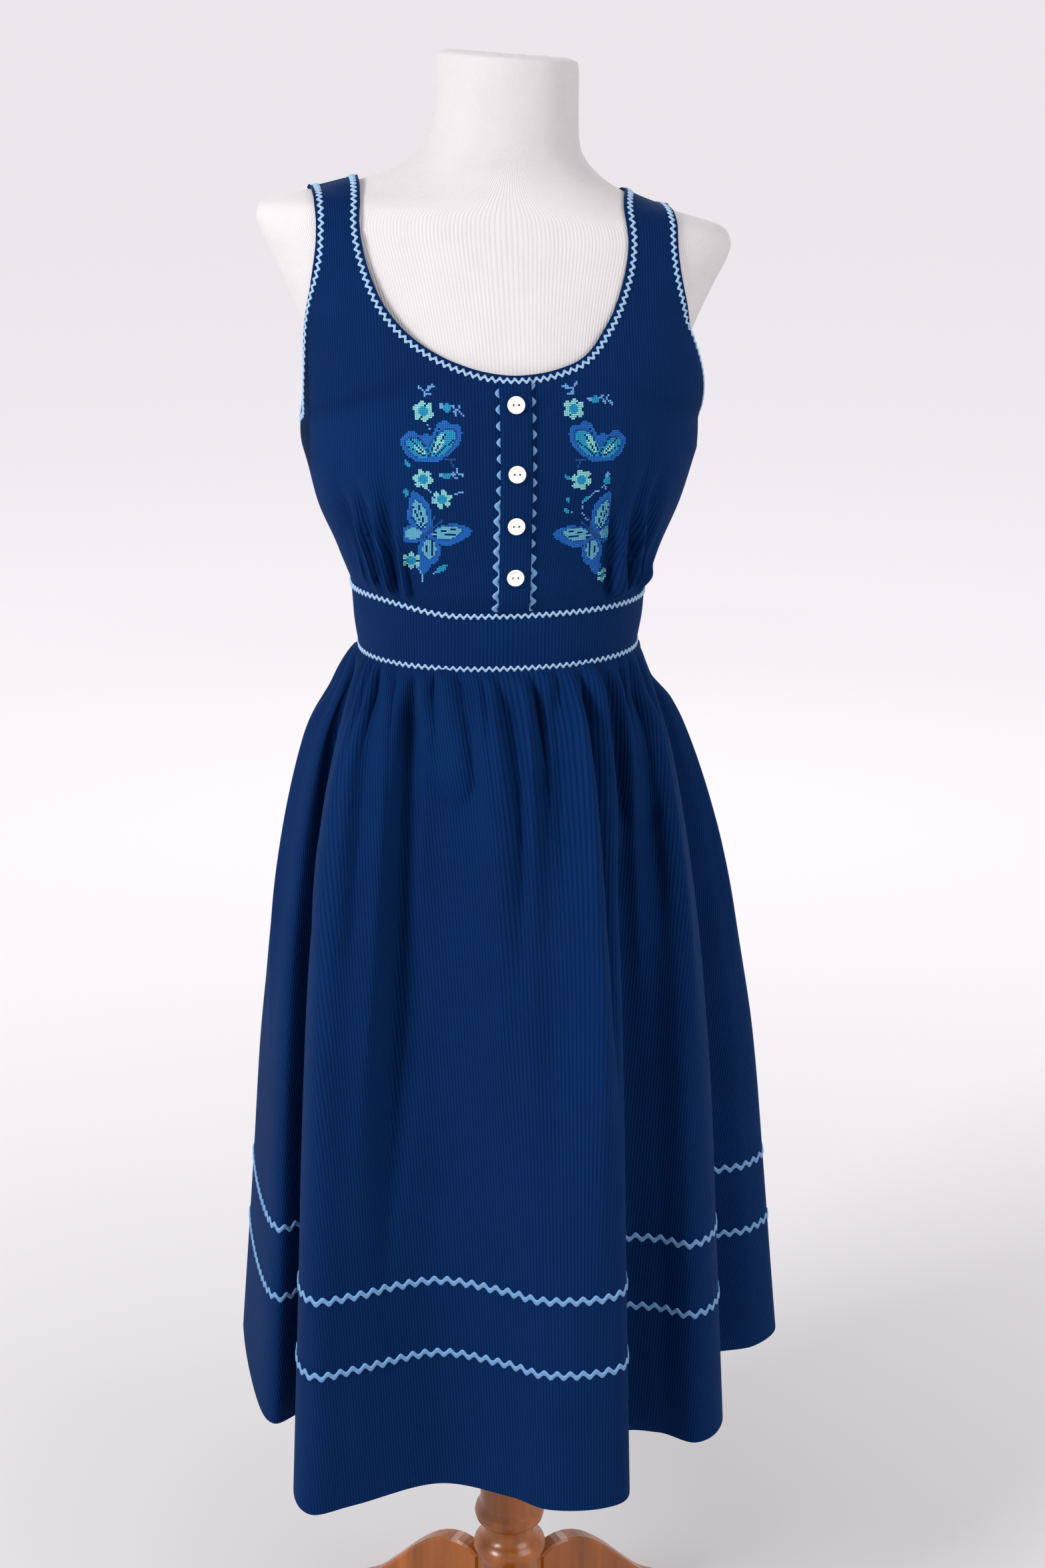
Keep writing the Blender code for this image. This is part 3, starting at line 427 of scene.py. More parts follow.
# Cross-stitch motifs. Each shape has a long axis, a width across it and a thread, in millimetres
STITCH = 0.00156
STITCH_HEIGHT = 0.00042
STITCH_LIFT = 0.0002
STRAND_REACH = 0.40
STRAND_HALF_WIDTH = 0.00026
STRAND_EDGE = 0.4
BUTTERFLY_REACH, FLOWER_REACH = 28, 8
STITCHED_FROM_Y = -0.3
MOTIFS = {
    # kind of shape, from x, from y, to x, to y, width, thread
    "flower": (
        ("oval", 0.0, 2.2, 0.0, 8.6, 5.4, "mint"),
        ("oval", 0.0, -2.2, 0.0, -8.6, 5.4, "mint"),
        ("oval", 2.2, 1.2, 7.8, 4.6, 5.4, "mint"),
        ("oval", -2.2, 1.2, -7.8, 4.6, 5.4, "mint"),
        ("oval", 2.2, -1.2, 7.8, -4.6, 5.4, "mint"),
        ("oval", -2.2, -1.2, -7.8, -4.6, 5.4, "mint"),
        ("oval", -3.9, 0.0, 3.9, 0.0, 7.8, "turquoise"),
        ("line", 3.9, 6.6, 2.4, 4.0, 0.9, "bare"),
        ("line", -3.9, 6.6, -2.4, 4.0, 0.9, "bare"),
        ("line", 3.9, -6.6, 2.4, -4.0, 0.9, "bare"),
        ("line", -3.9, -6.6, -2.4, -4.0, 0.9, "bare"),
    ),
    "bud": (
        ("leaf", -6.4, 2.6, -1.6, 0.6, 4.0, "pale"),
        ("oval", -2.6, -0.4, 4.2, 0.4, 6.8, "turquoise"),
        ("line", 4.0, 0.4, 8.4, 2.8, 1.5, "pale"),
        ("line", 6.4, 0.6, 8.6, -3.0, 1.3, "pale"),
    ),
    "sprig": (
        ("line", -0.6, -5.0, -1.6, 0.0, 1.2, "pale"),
        ("line", -1.6, 0.0, -7.0, 4.6, 1.6, "pale"),
        ("line", -1.6, 0.0, 4.8, 4.8, 1.7, "pale"),
        ("oval", 1.4, 4.2, 7.0, 5.6, 2.6, "pale"),
        ("line", -0.6, -2.0, 4.6, -2.4, 1.5, "pale"),
    ),
    "leaf": (
        ("leaf", 0.0, -6.0, 0.4, 6.2, 5.4, "turquoise"),
        ("line", 0.0, -9.0, 0.0, -5.6, 1.2, "pale"),
    ),
    "stem": (
        ("line", -1.2, 8.0, 1.6, 2.0, 1.0, "pale"),
        ("line", 1.6, 2.0, 0.0, -8.0, 1.0, "pale"),
    ),
    "small butterfly": (
        ("oval", -24.0, 5.5, -1.0, -12.5, 20.0, "blue"),
        ("oval", -20.0, 1.0, -14.0, 10.0, 10.0, "blue"),
        ("oval", -4.0, -11.5, 23.0, 15.0, 22.0, "blue"),
        ("oval", 4.0, 5.0, 13.0, 18.5, 11.0, "blue"),
        ("oval", -8.0, -10.0, -3.5, 8.5, 11.0, "blue"),
        ("oval", -21.0, 3.5, -3.0, -11.0, 14.6, "deep"),
        ("oval", -20.0, 2.6, -3.6, -10.4, 12.4, "turquoise"),
        ("oval", -15.0, -0.5, -6.0, -8.0, 5.0, "mint"),
        ("oval", -1.5, -10.0, 19.5, 12.5, 16.6, "deep"),
        ("oval", -0.6, -9.2, 18.2, 11.2, 14.2, "turquoise"),
        ("oval", 1.0, -7.0, 10.0, 8.5, 6.6, "mint"),
        ("line", -18.5, 4.0, -3.0, -10.0, 0.9, "bare"),
        ("line", -20.0, -2.5, -5.0, -10.5, 0.9, "bare"),
        ("line", -11.0, 5.5, -1.5, -9.0, 0.9, "bare"),
        ("line", -1.5, -9.0, 6.0, 13.0, 1.0, "bare"),
        ("line", 0.5, -9.0, 12.5, 10.5, 1.0, "bare"),
        ("line", 2.5, -9.5, 18.0, 4.0, 1.0, "bare"),
        ("oval", -12.0, -13.6, 9.0, -12.2, 4.2, "blue"),
        ("line", 9.0, -11.5, 20.0, -13.0, 1.5, "deep"),
        ("line", 14.5, -13.0, 18.5, -20.0, 1.5, "deep"),
    ),
    "large butterfly": (
        ("leaf", 0.5, 1.0, -11.5, 38.5, 19.0, "blue"),
        ("oval", -2.0, 1.0, -14.0, 24.0, 15.0, "blue"),
        ("oval", -1.0, -1.0, -24.0, -1.0, 16.0, "blue"),
        ("leaf", 1.0, -2.0, 39.0, 3.5, 18.0, "blue"),
        ("oval", 8.0, -5.5, 28.0, -3.5, 11.0, "blue"),
        ("oval", 3.0, -3.0, 1.5, -29.0, 19.0, "blue"),
        ("leaf", 1.0, -19.0, -4.0, -38.0, 10.0, "blue"),
        ("leaf", -2.0, 4.0, -9.8, 32.0, 13.4, "deep"),
        ("leaf", -2.4, 5.0, -9.6, 30.5, 11.6, "pale mint"),
        ("oval", -3.5, 1.0, -19.5, -1.5, 12.0, "deep"),
        ("oval", -4.5, 1.0, -18.5, -1.5, 10.4, "pale mint"),
        ("leaf", 3.0, -1.0, 31.0, 4.0, 13.4, "deep"),
        ("leaf", 4.0, -0.5, 29.5, 4.0, 11.6, "pale mint"),
        ("oval", 3.0, -4.0, 1.5, -23.5, 13.0, "deep"),
        ("oval", 3.0, -5.0, 1.6, -22.5, 11.4, "pale mint"),
        ("line", -3.5, 6.0, -11.5, 25.0, 1.0, "bare"),
        ("line", -4.5, 4.0, -14.5, 17.0, 1.0, "bare"),
        ("line", -1.5, 7.0, -7.5, 28.0, 1.0, "bare"),
        ("line", 5.0, 1.5, 26.0, 5.5, 1.0, "bare"),
        ("line", 5.0, -1.5, 25.0, 0.5, 1.0, "bare"),
        ("line", 1.0, -6.0, -1.0, -21.0, 1.0, "bare"),
        ("line", 4.5, -6.0, 5.0, -20.0, 1.0, "bare"),
        ("leaf", -7.0, -6.0, 6.0, 5.0, 4.4, "deep"),
        ("line", 3.0, 3.0, 6.5, 17.0, 1.5, "deep"),
        ("line", 4.0, 5.0, 14.0, 13.0, 1.5, "deep"),
    ),
}
EMBROIDERY = (
    # side, motif, x, z, turn in degrees, size, mirrored
    ("right", "sprig", -0.0729, 1.3655, 0.0, 1.00, 1),
    ("right", "flower", -0.0762, 1.3500, 8.0, 1.00, 1),
    ("right", "bud", -0.0570, 1.3520, 0.0, 0.95, 1),
    ("right", "sprig", -0.0478, 1.3495, -80.0, 0.70, 1),
    ("right", "stem", -0.0730, 1.3375, 30.0, 0.55, 1),
    ("right", "small butterfly", -0.0700, 1.3235, 0.0, 1.00, 1),
    ("right", "leaf", -0.0905, 1.3055, 34.0, 0.62, 1),
    ("right", "flower", -0.0786, 1.2925, 20.0, 0.98, 1),
    ("right", "bud", -0.0590, 1.2960, 10.0, 0.90, 1),
    ("right", "sprig", -0.0495, 1.2985, -60.0, 0.70, 1),
    ("right", "flower", -0.0627, 1.2755, -10.0, 0.95, 1),
    ("right", "sprig", -0.0505, 1.2820, -40.0, 0.55, 1),
    ("right", "stem", -0.0725, 1.2790, 20.0, 0.80, 1),
    ("right", "leaf", -0.0915, 1.2800, 6.0, 0.70, 1),
    ("right", "large butterfly", -0.0753, 1.2450, 0.0, 0.98, 1),
    ("right", "flower", -0.0868, 1.2196, 0.0, 0.95, 1),
    ("right", "leaf", -0.0625, 1.2135, -52.0, 0.95, 1),
    ("right", "stem", -0.0790, 1.2060, 16.0, 1.10, 1),
    ("left", "sprig", 0.0486, 1.3655, 20.0, 1.05, -1),
    ("left", "flower", 0.0492, 1.3495, -6.0, 1.05, -1),
    ("left", "bud", 0.0680, 1.3550, 8.0, 0.95, 1),
    ("left", "sprig", 0.0797, 1.3545, -70.0, 0.70, 1),
    ("left", "stem", 0.0560, 1.3385, -20.0, 0.60, 1),
    ("left", "small butterfly", 0.0700, 1.3205, 0.0, 1.00, -1),
    ("left", "flower", 0.0569, 1.2905, 12.0, 1.08, -1),
    ("left", "bud", 0.0800, 1.2885, 70.0, 0.95, -1),
    ("left", "leaf", 0.0438, 1.2928, 60.0, 0.55, -1),
    ("left", "stem", 0.0665, 1.2760, -50.0, 1.00, -1),
    ("left", "leaf", 0.0450, 1.2728, 12.0, 0.55, -1),
    ("left", "leaf", 0.0435, 1.2631, 70.0, 0.60, -1),
    ("left", "leaf", 0.0605, 1.2725, -50.0, 0.70, -1),
    ("left", "stem", 0.0590, 1.2610, 24.0, 0.90, -1),
    ("left", "large butterfly", 0.0705, 1.2405, 0.0, 0.98, -1),
    ("left", "flower", 0.0800, 1.2010, 0.0, 0.75, -1),
)
EMBROIDERED_TO = {
    # side: distance from the middle and height where the tucks swallow the stitches
    "right": (0.0945, 1.290),
    "left": (0.0840, 1.283),
}

# Form
FORM_SECTIONS = (
    # name, z, half width, depth in front, depth behind, squareness
    ("base", 0.900, 0.1440, 0.0960, 0.1060, 2.2),
    ("hip", 0.960, 0.1500, 0.0990, 0.1100, 2.2),
    ("high hip", 1.045, 0.1370, 0.0960, 0.0980, 2.2),
    ("waist low", 1.122, 0.1210, 0.0960, 0.0880, 2.2),
    ("waist top", 1.172, 0.1265, 0.0995, 0.0915, 2.2),
    ("midriff", 1.215, 0.1370, 0.1060, 0.0930, 2.2),
    ("ribs", 1.255, 0.1470, 0.1120, 0.0940, 2.25),
    ("bust", 1.305, 0.1570, 0.1180, 0.0960, 2.3),
    ("chest", 1.378, 0.1630, 0.1070, 0.1000, 2.3),
    ("plate foot", 1.411, 0.1730, 0.0950, 0.0990, 2.3),
    ("plate", 1.450, 0.1905, 0.0810, 0.0890, 2.3),
    ("plate top", 1.477, 0.2040, 0.0720, 0.0770, 2.3),
    ("shoulder point", 1.491, 0.2060, 0.0670, 0.0710, 2.3),
    ("shoulder end", 1.502, 0.1975, 0.0620, 0.0660, 2.3),
    ("outer slope", 1.5095, 0.1680, 0.0590, 0.0630, 2.3),
    ("strap slope", 1.516, 0.1380, 0.0560, 0.0600, 2.3),
    ("inner slope", 1.5255, 0.1100, 0.0540, 0.0570, 2.2),
    ("neck foot", 1.538, 0.0860, 0.0530, 0.0540, 2.1),
    ("low neck", 1.558, 0.0670, 0.0550, 0.0530, 2.0),
    ("neck", 1.588, 0.0615, 0.0560, 0.0510, 2.0),
    ("neck rim", 1.626, 0.0610, 0.0560, 0.0510, 2.0),
    ("neck top", 1.632, 0.0560, 0.0510, 0.0460, 2.0),
)
FORM_COLUMNS = 128
FORM_STEPS = 6
JERSEY_RADIUS = 0.135
JERSEY_LOOP_PITCH = 0.0016
NECK_LEAN = 0.0095
NECK_LEAN_FROM_Z, NECK_LEAN_TO_Z = 1.49, 1.60
NECK_CAP = (
    # share of the neck's radius, height above the neck top, depth of the gathers there
    (0.90, 0.0010, 0.0006),
    (0.76, 0.0006, 0.0012),
    (0.58, -0.0006, 0.0015),
    (0.40, -0.0014, 0.0014),
    (0.22, -0.0022, 0.0008),
    (0.05, -0.0032, 0.0000),
)
NECK_GATHERS = 26
NECK_SEED = 5
NECK_GATHER_SHARES = (0.4, 1.3)
NECK_RIBS_CLOSER = 3

# Turned column
COLUMN_SIDES = 96
COLUMN_PROFILE = (
    # radius, height
    (0.012, 0.0580),
    (0.024, 0.0605),
    (0.031, 0.0680),
    (0.033, 0.0780),
    (0.033, 0.1340),
    (0.0345, 0.1390),
    (0.037, 0.1450),
    (0.0373, 0.1490),
    (0.036, 0.1535),
    (0.031, 0.1580),
    (0.0265, 0.1625),
    (0.0250, 0.1680),
    (0.0255, 0.1735),
    (0.0300, 0.1775),
    (0.0345, 0.1820),
    (0.0360, 0.1880),
    (0.0345, 0.1940),
    (0.0305, 0.1985),
    (0.0300, 0.2030),
    (0.0300, 0.8994),
)

# Camera: its place, heading, downward pitch and lens
CAMERA_PLACE = (-0.292, -2.091, 1.680)
CAMERA_HEADING = math.radians(-8.0)
CAMERA_PITCH = math.radians(18.4)
CAMERA_LENS = 54.49
CAMERA_SENSOR = 36.0

# Studio
FLOOR_SIZE = 2400.0
LIGHTS = (
    # name, place, aim, size, watts
    ("key light", (-2.9, -1.8, 2.6), (0.0, 0.0, 0.95), 1.1, 150.0),
    ("fill light", (2.2, -2.0, 2.3), (0.0, 0.0, 1.2), 1.8, 46.0),
    ("back light", (0.6, 2.6, 2.8), (0.0, 0.0, 1.0), 2.0, 40.0),
)
AIR_COLOUR = (0.87, 0.85, 0.875, 1.0)
AIR_STRENGTH = 0.84


class DressSizes(bpy.types.PropertyGroup):
    """Sizes of the cloth's surface that a user may change."""

    wale_pitch: FloatProperty(
        name="Wale pitch",
        description="Distance from one rib of the corduroy to the next",
        default=0.0028,
        unit="LENGTH",
    )
    wale_height: FloatProperty(
        name="Wale height",
        description="How far a rib of the corduroy stands above its groove",
        default=0.0005,
        unit="LENGTH",
    )
    rib_pitch: FloatProperty(
        name="Jersey rib pitch",
        description="Distance from one rib of the form's jersey to the next",
        default=0.0021,
        unit="LENGTH",
    )


class DressColours(bpy.types.PropertyGroup):
    """Colours of the dress, the form and the stand."""

    cloth: FloatVectorProperty(
        name="Corduroy", description="Top of a rib", default=(0.0014, 0.0165, 0.0760),
        subtype="COLOR",
    )
    # The groove colour is painted shade between the ribs of the corduroy.
    groove: FloatVectorProperty(
        name="Groove", description="Between the ribs", default=(0.0005, 0.0060, 0.0300),
        subtype="COLOR",
    )
    ricrac: FloatVectorProperty(
        name="Narrow ricrac", description="Wavy braid at the neckline, armholes and waist",
        default=(0.29, 0.45, 0.64), subtype="COLOR",
    )
    wide_ricrac: FloatVectorProperty(
        name="Wide ricrac", description="Wavy braid on the placket and skirt",
        default=(0.135, 0.290, 0.530), subtype="COLOR",
    )
    button: FloatVectorProperty(
        name="Buttons", description="Pressed buttons", default=(0.82, 0.78, 0.73),
        subtype="COLOR",
    )
    jersey: FloatVectorProperty(
        name="Jersey", description="Cover of the form", default=(0.515, 0.490, 0.497),
        subtype="COLOR",
    )
    wood: FloatVectorProperty(
        name="Wood", description="Varnished stand", default=(0.29, 0.076, 0.005), subtype="COLOR"
    )
    floor: FloatVectorProperty(
        name="Floor", description="Studio floor", default=(0.96, 0.935, 0.955), subtype="COLOR"
    )


THREADS = {
    # thread: colour
    "blue": (0.002, 0.105, 0.410),
    "deep": (0.003, 0.055, 0.230),
    "turquoise": (0.005, 0.250, 0.440),
    "mint": (0.210, 0.530, 0.530),
    "pale mint": (0.110, 0.380, 0.520),
    "pale": (0.130, 0.320, 0.640),
    "button": (0.620, 0.560, 0.500),
}


# Materials


class Value:
    """A number that changes over a surface. Sums on it add Math nodes to its material."""

    def __init__(self, finish, socket):
        self.finish = finish
        self.socket = socket

    def math(self, operation, *numbers):
        return self.finish.add(
            "ShaderNodeMath", {"operation": operation}, dict(enumerate(numbers))
        )

    def __add__(self, other):
        return self.math("ADD", self, other)

    def __radd__(self, other):
        return self.math("ADD", other, self)

    def __sub__(self, other):
        return self.math("SUBTRACT", self, other)

    def __rsub__(self, other):
        return self.math("SUBTRACT", other, self)

    def __mul__(self, other):
        return self.math("MULTIPLY", self, other)

    def __rmul__(self, other):
        return self.math("MULTIPLY", other, self)

    def __pow__(self, other):
        return self.math("POWER", self, other)

    def __abs__(self):
        return self.math("ABSOLUTE", self)

    def sine(self):
        return self.math("SINE", self)


class Finish:
    """A Principled material whose nodes are added one by one."""

    def __init__(self, name, roughness, **constants):
        self.material = bpy.data.materials.new(name)
        self.material.use_nodes = True
        self.tree = self.material.node_tree
        self.shader = self.tree.nodes["Principled BSDF"]
        self.shader.inputs["Roughness"].default_value = roughness
        for name, value in constants.items():
            socket = self.shader.inputs[name.replace("_", " ").title().replace("Ior", "IOR")]
            socket.default_value = value

    def add(self, kind, settings=None, sockets=None, output=0):
        """A node with its settings and the values or links of its sockets."""
        node = self.tree.nodes.new(kind)
        settings = dict(settings or {})
        for index, (place, grey) in enumerate(settings.pop("stops", ())):
            ends = node.color_ramp.elements
            stop = ends[0] if index == 0 else ends.new(place)
            stop.position = place
            stop.color = (grey, grey, grey, 1.0)
        for name, value in settings.items():
            setattr(node, name, value)
        for key, value in (sockets or {}).items():
            if isinstance(value, Value):
                self.tree.links.new(value.socket, node.inputs[key])
            else:
                node.inputs[key].default_value = value
        return Value(self, node.outputs[output])

    def mix(self, factor, first, second):
        """A colour between two colours."""
        colours = [c if isinstance(c, Value) else (*c, 1.0) for c in (first, second)]
        return self.add(
            "ShaderNodeMix",
            {"data_type": "RGBA"},
            {0: factor, 6: colours[0], 7: colours[1]},
            output=2,
        )

    def noise(self, scale, detail=2.0, stretch=(1.0, 1.0, 1.0)):
        """Noise on Object coordinates, stretched along the axes."""
        place = self.add("ShaderNodeTexCoord", output="Object")
        place = self.add("ShaderNodeMapping", {}, {"Vector": place, "Scale": stretch})
        return self.add(
            "ShaderNodeTexNoise", {}, {"Vector": place, "Scale": scale, "Detail": detail}
        )

    def flat_place(self, layer):
        """The two numbers of a piece's own UV map."""
        place = self.add("ShaderNodeUVMap", {"uv_map": layer})
        across = self.add("ShaderNodeSeparateXYZ", {}, {0: place}, output="X")
        return across, Value(self, across.socket.node.outputs["Y"])

    def ends(self, colour, height=None, roughness=None):
        """Feeds the shader with the finished colour, height in metres and roughness."""
        self.tree.links.new(colour.socket, self.shader.inputs["Base Color"])
        if roughness is not None:
            self.tree.links.new(roughness.socket, self.shader.inputs["Roughness"])
        if height is not None:
            bump = self.add("ShaderNodeBump", {}, {"Distance": 1.0, "Height": height})
            self.tree.links.new(bump.socket, self.shader.inputs["Normal"])
        return self.material


def colours():
    return bpy.context.scene.pinafore_colours


def sizes():
    return bpy.context.scene.pinafore_sizes


@cache
def corduroy():
    """Pinwale corduroy: rounded ribs of pile along the cloth, with the grooves between painted darker
    as painted shade.
    """
    finish = Finish(
        "pinwale corduroy", 0.80, sheen_weight=0.07, sheen_roughness=0.40, specular_ior_level=0.03
    )
    finish.shader.inputs["Sheen Tint"].default_value = (0.10, 0.34, 0.85, 1.0)
    across, _ = finish.flat_place("Cloth")
    waver = (finish.noise(30.0) - 0.5) * 0.5
    rib = abs((across * (math.pi / sizes().wale_pitch) + waver).sine()) ** 0.7
    pile = finish.noise(1500.0, detail=3.0)
    cloud = finish.noise(9.0, detail=3.0)
    # Painted shade in the grooves between the ribs, with random tone from the pile and the cloud
    # noise.
    painted_groove_shade_and_mottle = rib * 0.72 + pile * 0.38 + (cloud - 0.5) * 0.5
    colour = finish.mix(painted_groove_shade_and_mottle, colours().groove, colours().cloth)
    height = rib * sizes().wale_height + pile * 0.00012
    return finish.ends(colour, height)


@cache
def ricrac_braid(name):
    """Woven cotton braid: fine ribs across the strand with painted shade between them, and one edge
    paler as a painted highlight, with painted shade over the rest of the strand.
    """
    tone = getattr(colours(), name)
    finish = Finish(name.replace("_", " "), 0.75, sheen_weight=0.10, specular_ior_level=0.2)
    along, across = finish.flat_place("Braid")
    # middle: a ridge at one edge for the bump; in the colour it paints a highlight on that edge and
    # shade over the rest.
    middle = finish.add(
        "ShaderNodeValToRGB",
        {"stops": ((0.0, 0.35), (0.30, 0.20), (0.70, 0.30), (0.84, 1.0), (1.0, 0.80))},
        {"Fac": across},
    )
    ribs = abs((along * (math.pi / RICRAC_RIB_PITCH)).sine())
    # The colour has a painted highlight and painted shade from middle, painted shade between the ribs,
    # and random tone from noise.
    light = middle * 0.65 + ribs * 0.20 + finish.noise(700.0) * 0.25
    colour = finish.mix(light, [c * 0.60 for c in tone], tone)
    return finish.ends(colour, ribs * 0.00010 + middle * 0.00012)


@cache
def thread(name):
    """Stranded cotton in one colour."""
    finish = Finish(f"{name} thread", 0.55, specular_ior_level=0.25)
    tone = THREADS[name]
    light = finish.noise(420.0) * 0.9 + finish.noise(60.0) * 0.3
    colour = finish.mix(light, [c * 0.55 for c in tone], [min(1.0, c * 1.35) for c in tone])
    strands = finish.noise(2600.0, detail=1.0)
    return finish.ends(colour, strands * 0.00010)


@cache
def button_casein():
    """Off-white pressed buttons, with a faint cloud in them."""
    finish = Finish("button", 0.30, coat_weight=0.25, coat_roughness=0.15)
    tone = colours().button
    colour = finish.mix(finish.noise(260.0, detail=4.0), [c * 0.86 for c in tone], tone)
    return finish.ends(colour, finish.noise(500.0) * 0.00002)


@cache
def jersey():
    """Ribbed white jersey, stretched over the form."""
    finish = Finish("ribbed jersey", 0.92, sheen_weight=0.15)
    across, along = finish.flat_place("Jersey")
    rib = abs((across * (math.pi / sizes().rib_pitch)).sine()) ** 0.8
    loop = abs((along * (math.pi / JERSEY_LOOP_PITCH)).sine())
    tone = colours().jersey
    # Painted shade: the colour is darker between the ribs and the loops; the noise adds random tone.
    light = rib * 0.6 + loop * 0.12 + finish.noise(40.0, detail=4.0) * 0.5
    colour = finish.mix(light, [c * 0.84 for c in tone], tone)
    height = rib * 0.00022 + loop * 0.00006 + finish.noise(24.0, detail=3.0) * 0.0008
    return finish.ends(colour, height)


@cache
def varnished_wood():
    """Honey-coloured wood with its grain upright, under a clear varnish."""
    finish = Finish("varnished wood", 0.38, coat_weight=0.15, coat_roughness=0.15)
    tone = colours().wood
    grain = finish.noise(70.0, detail=6.0, stretch=(1.0, 1.0, 0.05))
    streak = finish.noise(420.0, detail=2.0, stretch=(1.0, 1.0, 0.03))
    cloud = finish.noise(14.0, detail=2.0)
    light = (grain - 0.5) * 1.8 + 0.35 + streak * 0.25 + cloud * 0.2
    colour = finish.mix(light, [c * 0.45 for c in tone], [min(1.0, c * 1.25) for c in tone])
    return finish.ends(colour, grain * 0.0002, 0.40 - cloud * 0.18)


@cache
def floor_with_painted_glow_and_shade():
    """A floor with a painted glow, darker near the stand as painted shade and paler further out."""
    # The emission is a painted glow on a floor that is no lamp.
    finish = Finish("studio floor", 0.90, specular_ior_level=0.1, emission_strength=0.13)
    finish.shader.inputs["Emission Color"].default_value = (1.0, 0.98, 1.0, 1.0)
    tone = colours().floor
    place = finish.add("ShaderNodeTexCoord", output="Object")
    out = finish.add("ShaderNodeVectorMath", {"operation": "LENGTH"}, {0: place}, output="Value")
    # Painted shade: the floor is darker near the stand and paler further out.
    colour = finish.mix(out * 0.22 - 0.04, [c * 0.42 for c in tone], tone)
    return finish.ends(colour)


# Curves and rings


def between(knots, at):
    """The number of the knot before a place, and how far on towards the next knot the place is."""
    i = max(0, min(bisect_right(knots, at) - 1, len(knots) - 2))
    return i, (at - knots[i]) / max(1e-6, knots[i + 1] - knots[i])


def spline(knots, rows, at):
    """The row of numbers at a place among rows that stand at rising knots, on a smooth curve."""
    last = len(knots) - 1
    i, t = between(knots, at)
    span = knots[i + 1] - knots[i]

    def slope(j, k):
        before, after = max(j - 1, 0), min(j + 1, last)
        return (rows[after][k] - rows[before][k]) / (knots[after] - knots[before])

    ease = t * t * (3 - 2 * t)
    return [
        start * (1 - ease)
        + end * ease
        + span * (slope(i, k) * t * (1 - t) ** 2 - slope(i + 1, k) * t * t * (1 - t))
        for k, (start, end) in enumerate(zip(rows[i], rows[i + 1]))
    ]


def from_table(table, at):
    """The other columns of a table at a value of its first column."""
    return spline([row[0] for row in table], [row[1:] for row in table], at)


def section(table, at):
    """The sizes at a section, by its number, in a table whose first column holds names."""
    return spline(range(len(table)), [row[1:] for row in table], at)


def lengths_along(points):
    """How far along a line each of its points is."""
    lengths = [0.0]
    for a, b in zip(points, points[1:]):
        lengths.append(lengths[-1] + (b - a).length)
    return lengths


def power(value, exponent):
    """A signed power, which squares off a circle."""
    return math.copysign(abs(value) ** exponent, value)


def ring(angle, half_width, front, behind, squareness):
    """A point of a body ring seen from above. Angle 0 is the front, and 90 degrees is +X."""
    x = half_width * power(math.sin(angle), 2 / squareness)
    along = power(math.cos(angle), 2 / squareness)
    return x, -along * (front if along > 0 else behind)


def angles_round(columns):
    """Angles all the way round, from the centre back over the front."""
    return [-math.pi + 2 * math.pi * c / columns for c in range(columns + 1)]


def ramp(value, low, high):
    """0 below low, 1 above high, and smooth between them."""
    t = max(0.0, min(1.0, (value - low) / (high - low)))
    return t * t * (3 - 2 * t)


def swell(value, rising, full, falling, gone):
    """0 up to rising, 1 between full and falling, and 0 again from gone."""
    return ramp(value, rising, full) * (1 - ramp(value, falling, gone))


def tilted(point):
    """The point after the shoulders' tilt, which fades out below the bust."""
    drop = point.x * math.tan(SHOULDER_TILT) * ramp(point.z, TILT_FROM_Z, TILT_TO_Z)
    return Vector((point.x, point.y, point.z - drop))


# Grids of points, meshes and objects


def grid_faces(rows, columns, start=0):
    """The faces of a grid whose rows run from the top down, and its columns to the right."""
    faces = []
    for r in range(rows - 1):
        for c in range(columns - 1):
            a = start + r * columns + c
            faces.append((a, a + columns, a + columns + 1, a + 1))
    return faces


def tree_of(grids):
    """A tree for finding places on some grids of points."""
    points, faces = [], []
    for rows in grids:
        faces += grid_faces(len(rows), len(rows[0]), len(points))
        points += [p for row in rows for p in row]
    return BVHTree.FromPolygons(points, faces)


def pushed(rows, heights, closed=False):
    """The grid with each point moved out of the cloth by its own height."""
    last_row, last = len(rows) - 1, len(rows[0]) - 1
    moved = []
    for r, row in enumerate(rows):
        above, below = rows[max(r - 1, 0)], rows[min(r + 1, last_row)]
        line = []
        for c, point in enumerate(row):
            before = row[c - 1] if c else row[last - 1] if closed else point
            after = row[c + 1] if c < last else row[1] if closed else point
            out = (after - before).cross(above[c] - below[c])
            line.append(point + out.normalized() * heights[r][c])
        moved.append(line)
    return moved


def parted(rows, gap):
    """The grid drawn in a little at its first and last columns, where it is sewn to the next."""
    for row in rows:
        row[0] = row[0] + (row[1] - row[0]).normalized() * gap
        row[-1] = row[-1] + (row[-2] - row[-1]).normalized() * gap
    return rows


def new_piece(name, mesh, material, stands_for=()):
    """A smooth object that rides with the dress and stands for some solids."""
    mesh.materials.append(material)
    mesh.shade_smooth()
    made = bpy.data.objects.new(name, mesh)
    bpy.context.scene.collection.objects.link(made)
    return settled(made, stands_for)


def settled(piece, stands_for=()):
    """The piece, riding with the dress."""
    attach(piece, "root")
    if stands_for:
        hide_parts(*stands_for)
    return piece


def only(piece):
    """Selects that object alone."""
    bpy.ops.object.select_all(action="DESELECT")
    bpy.context.view_layer.objects.active = piece
    piece.select_set(True)


def apply_modifiers(piece):
    """Makes the piece's modifiers part of its mesh."""
    only(piece)
    for modifier in list(piece.modifiers):
        bpy.ops.object.modifier_apply(modifier=modifier.name)


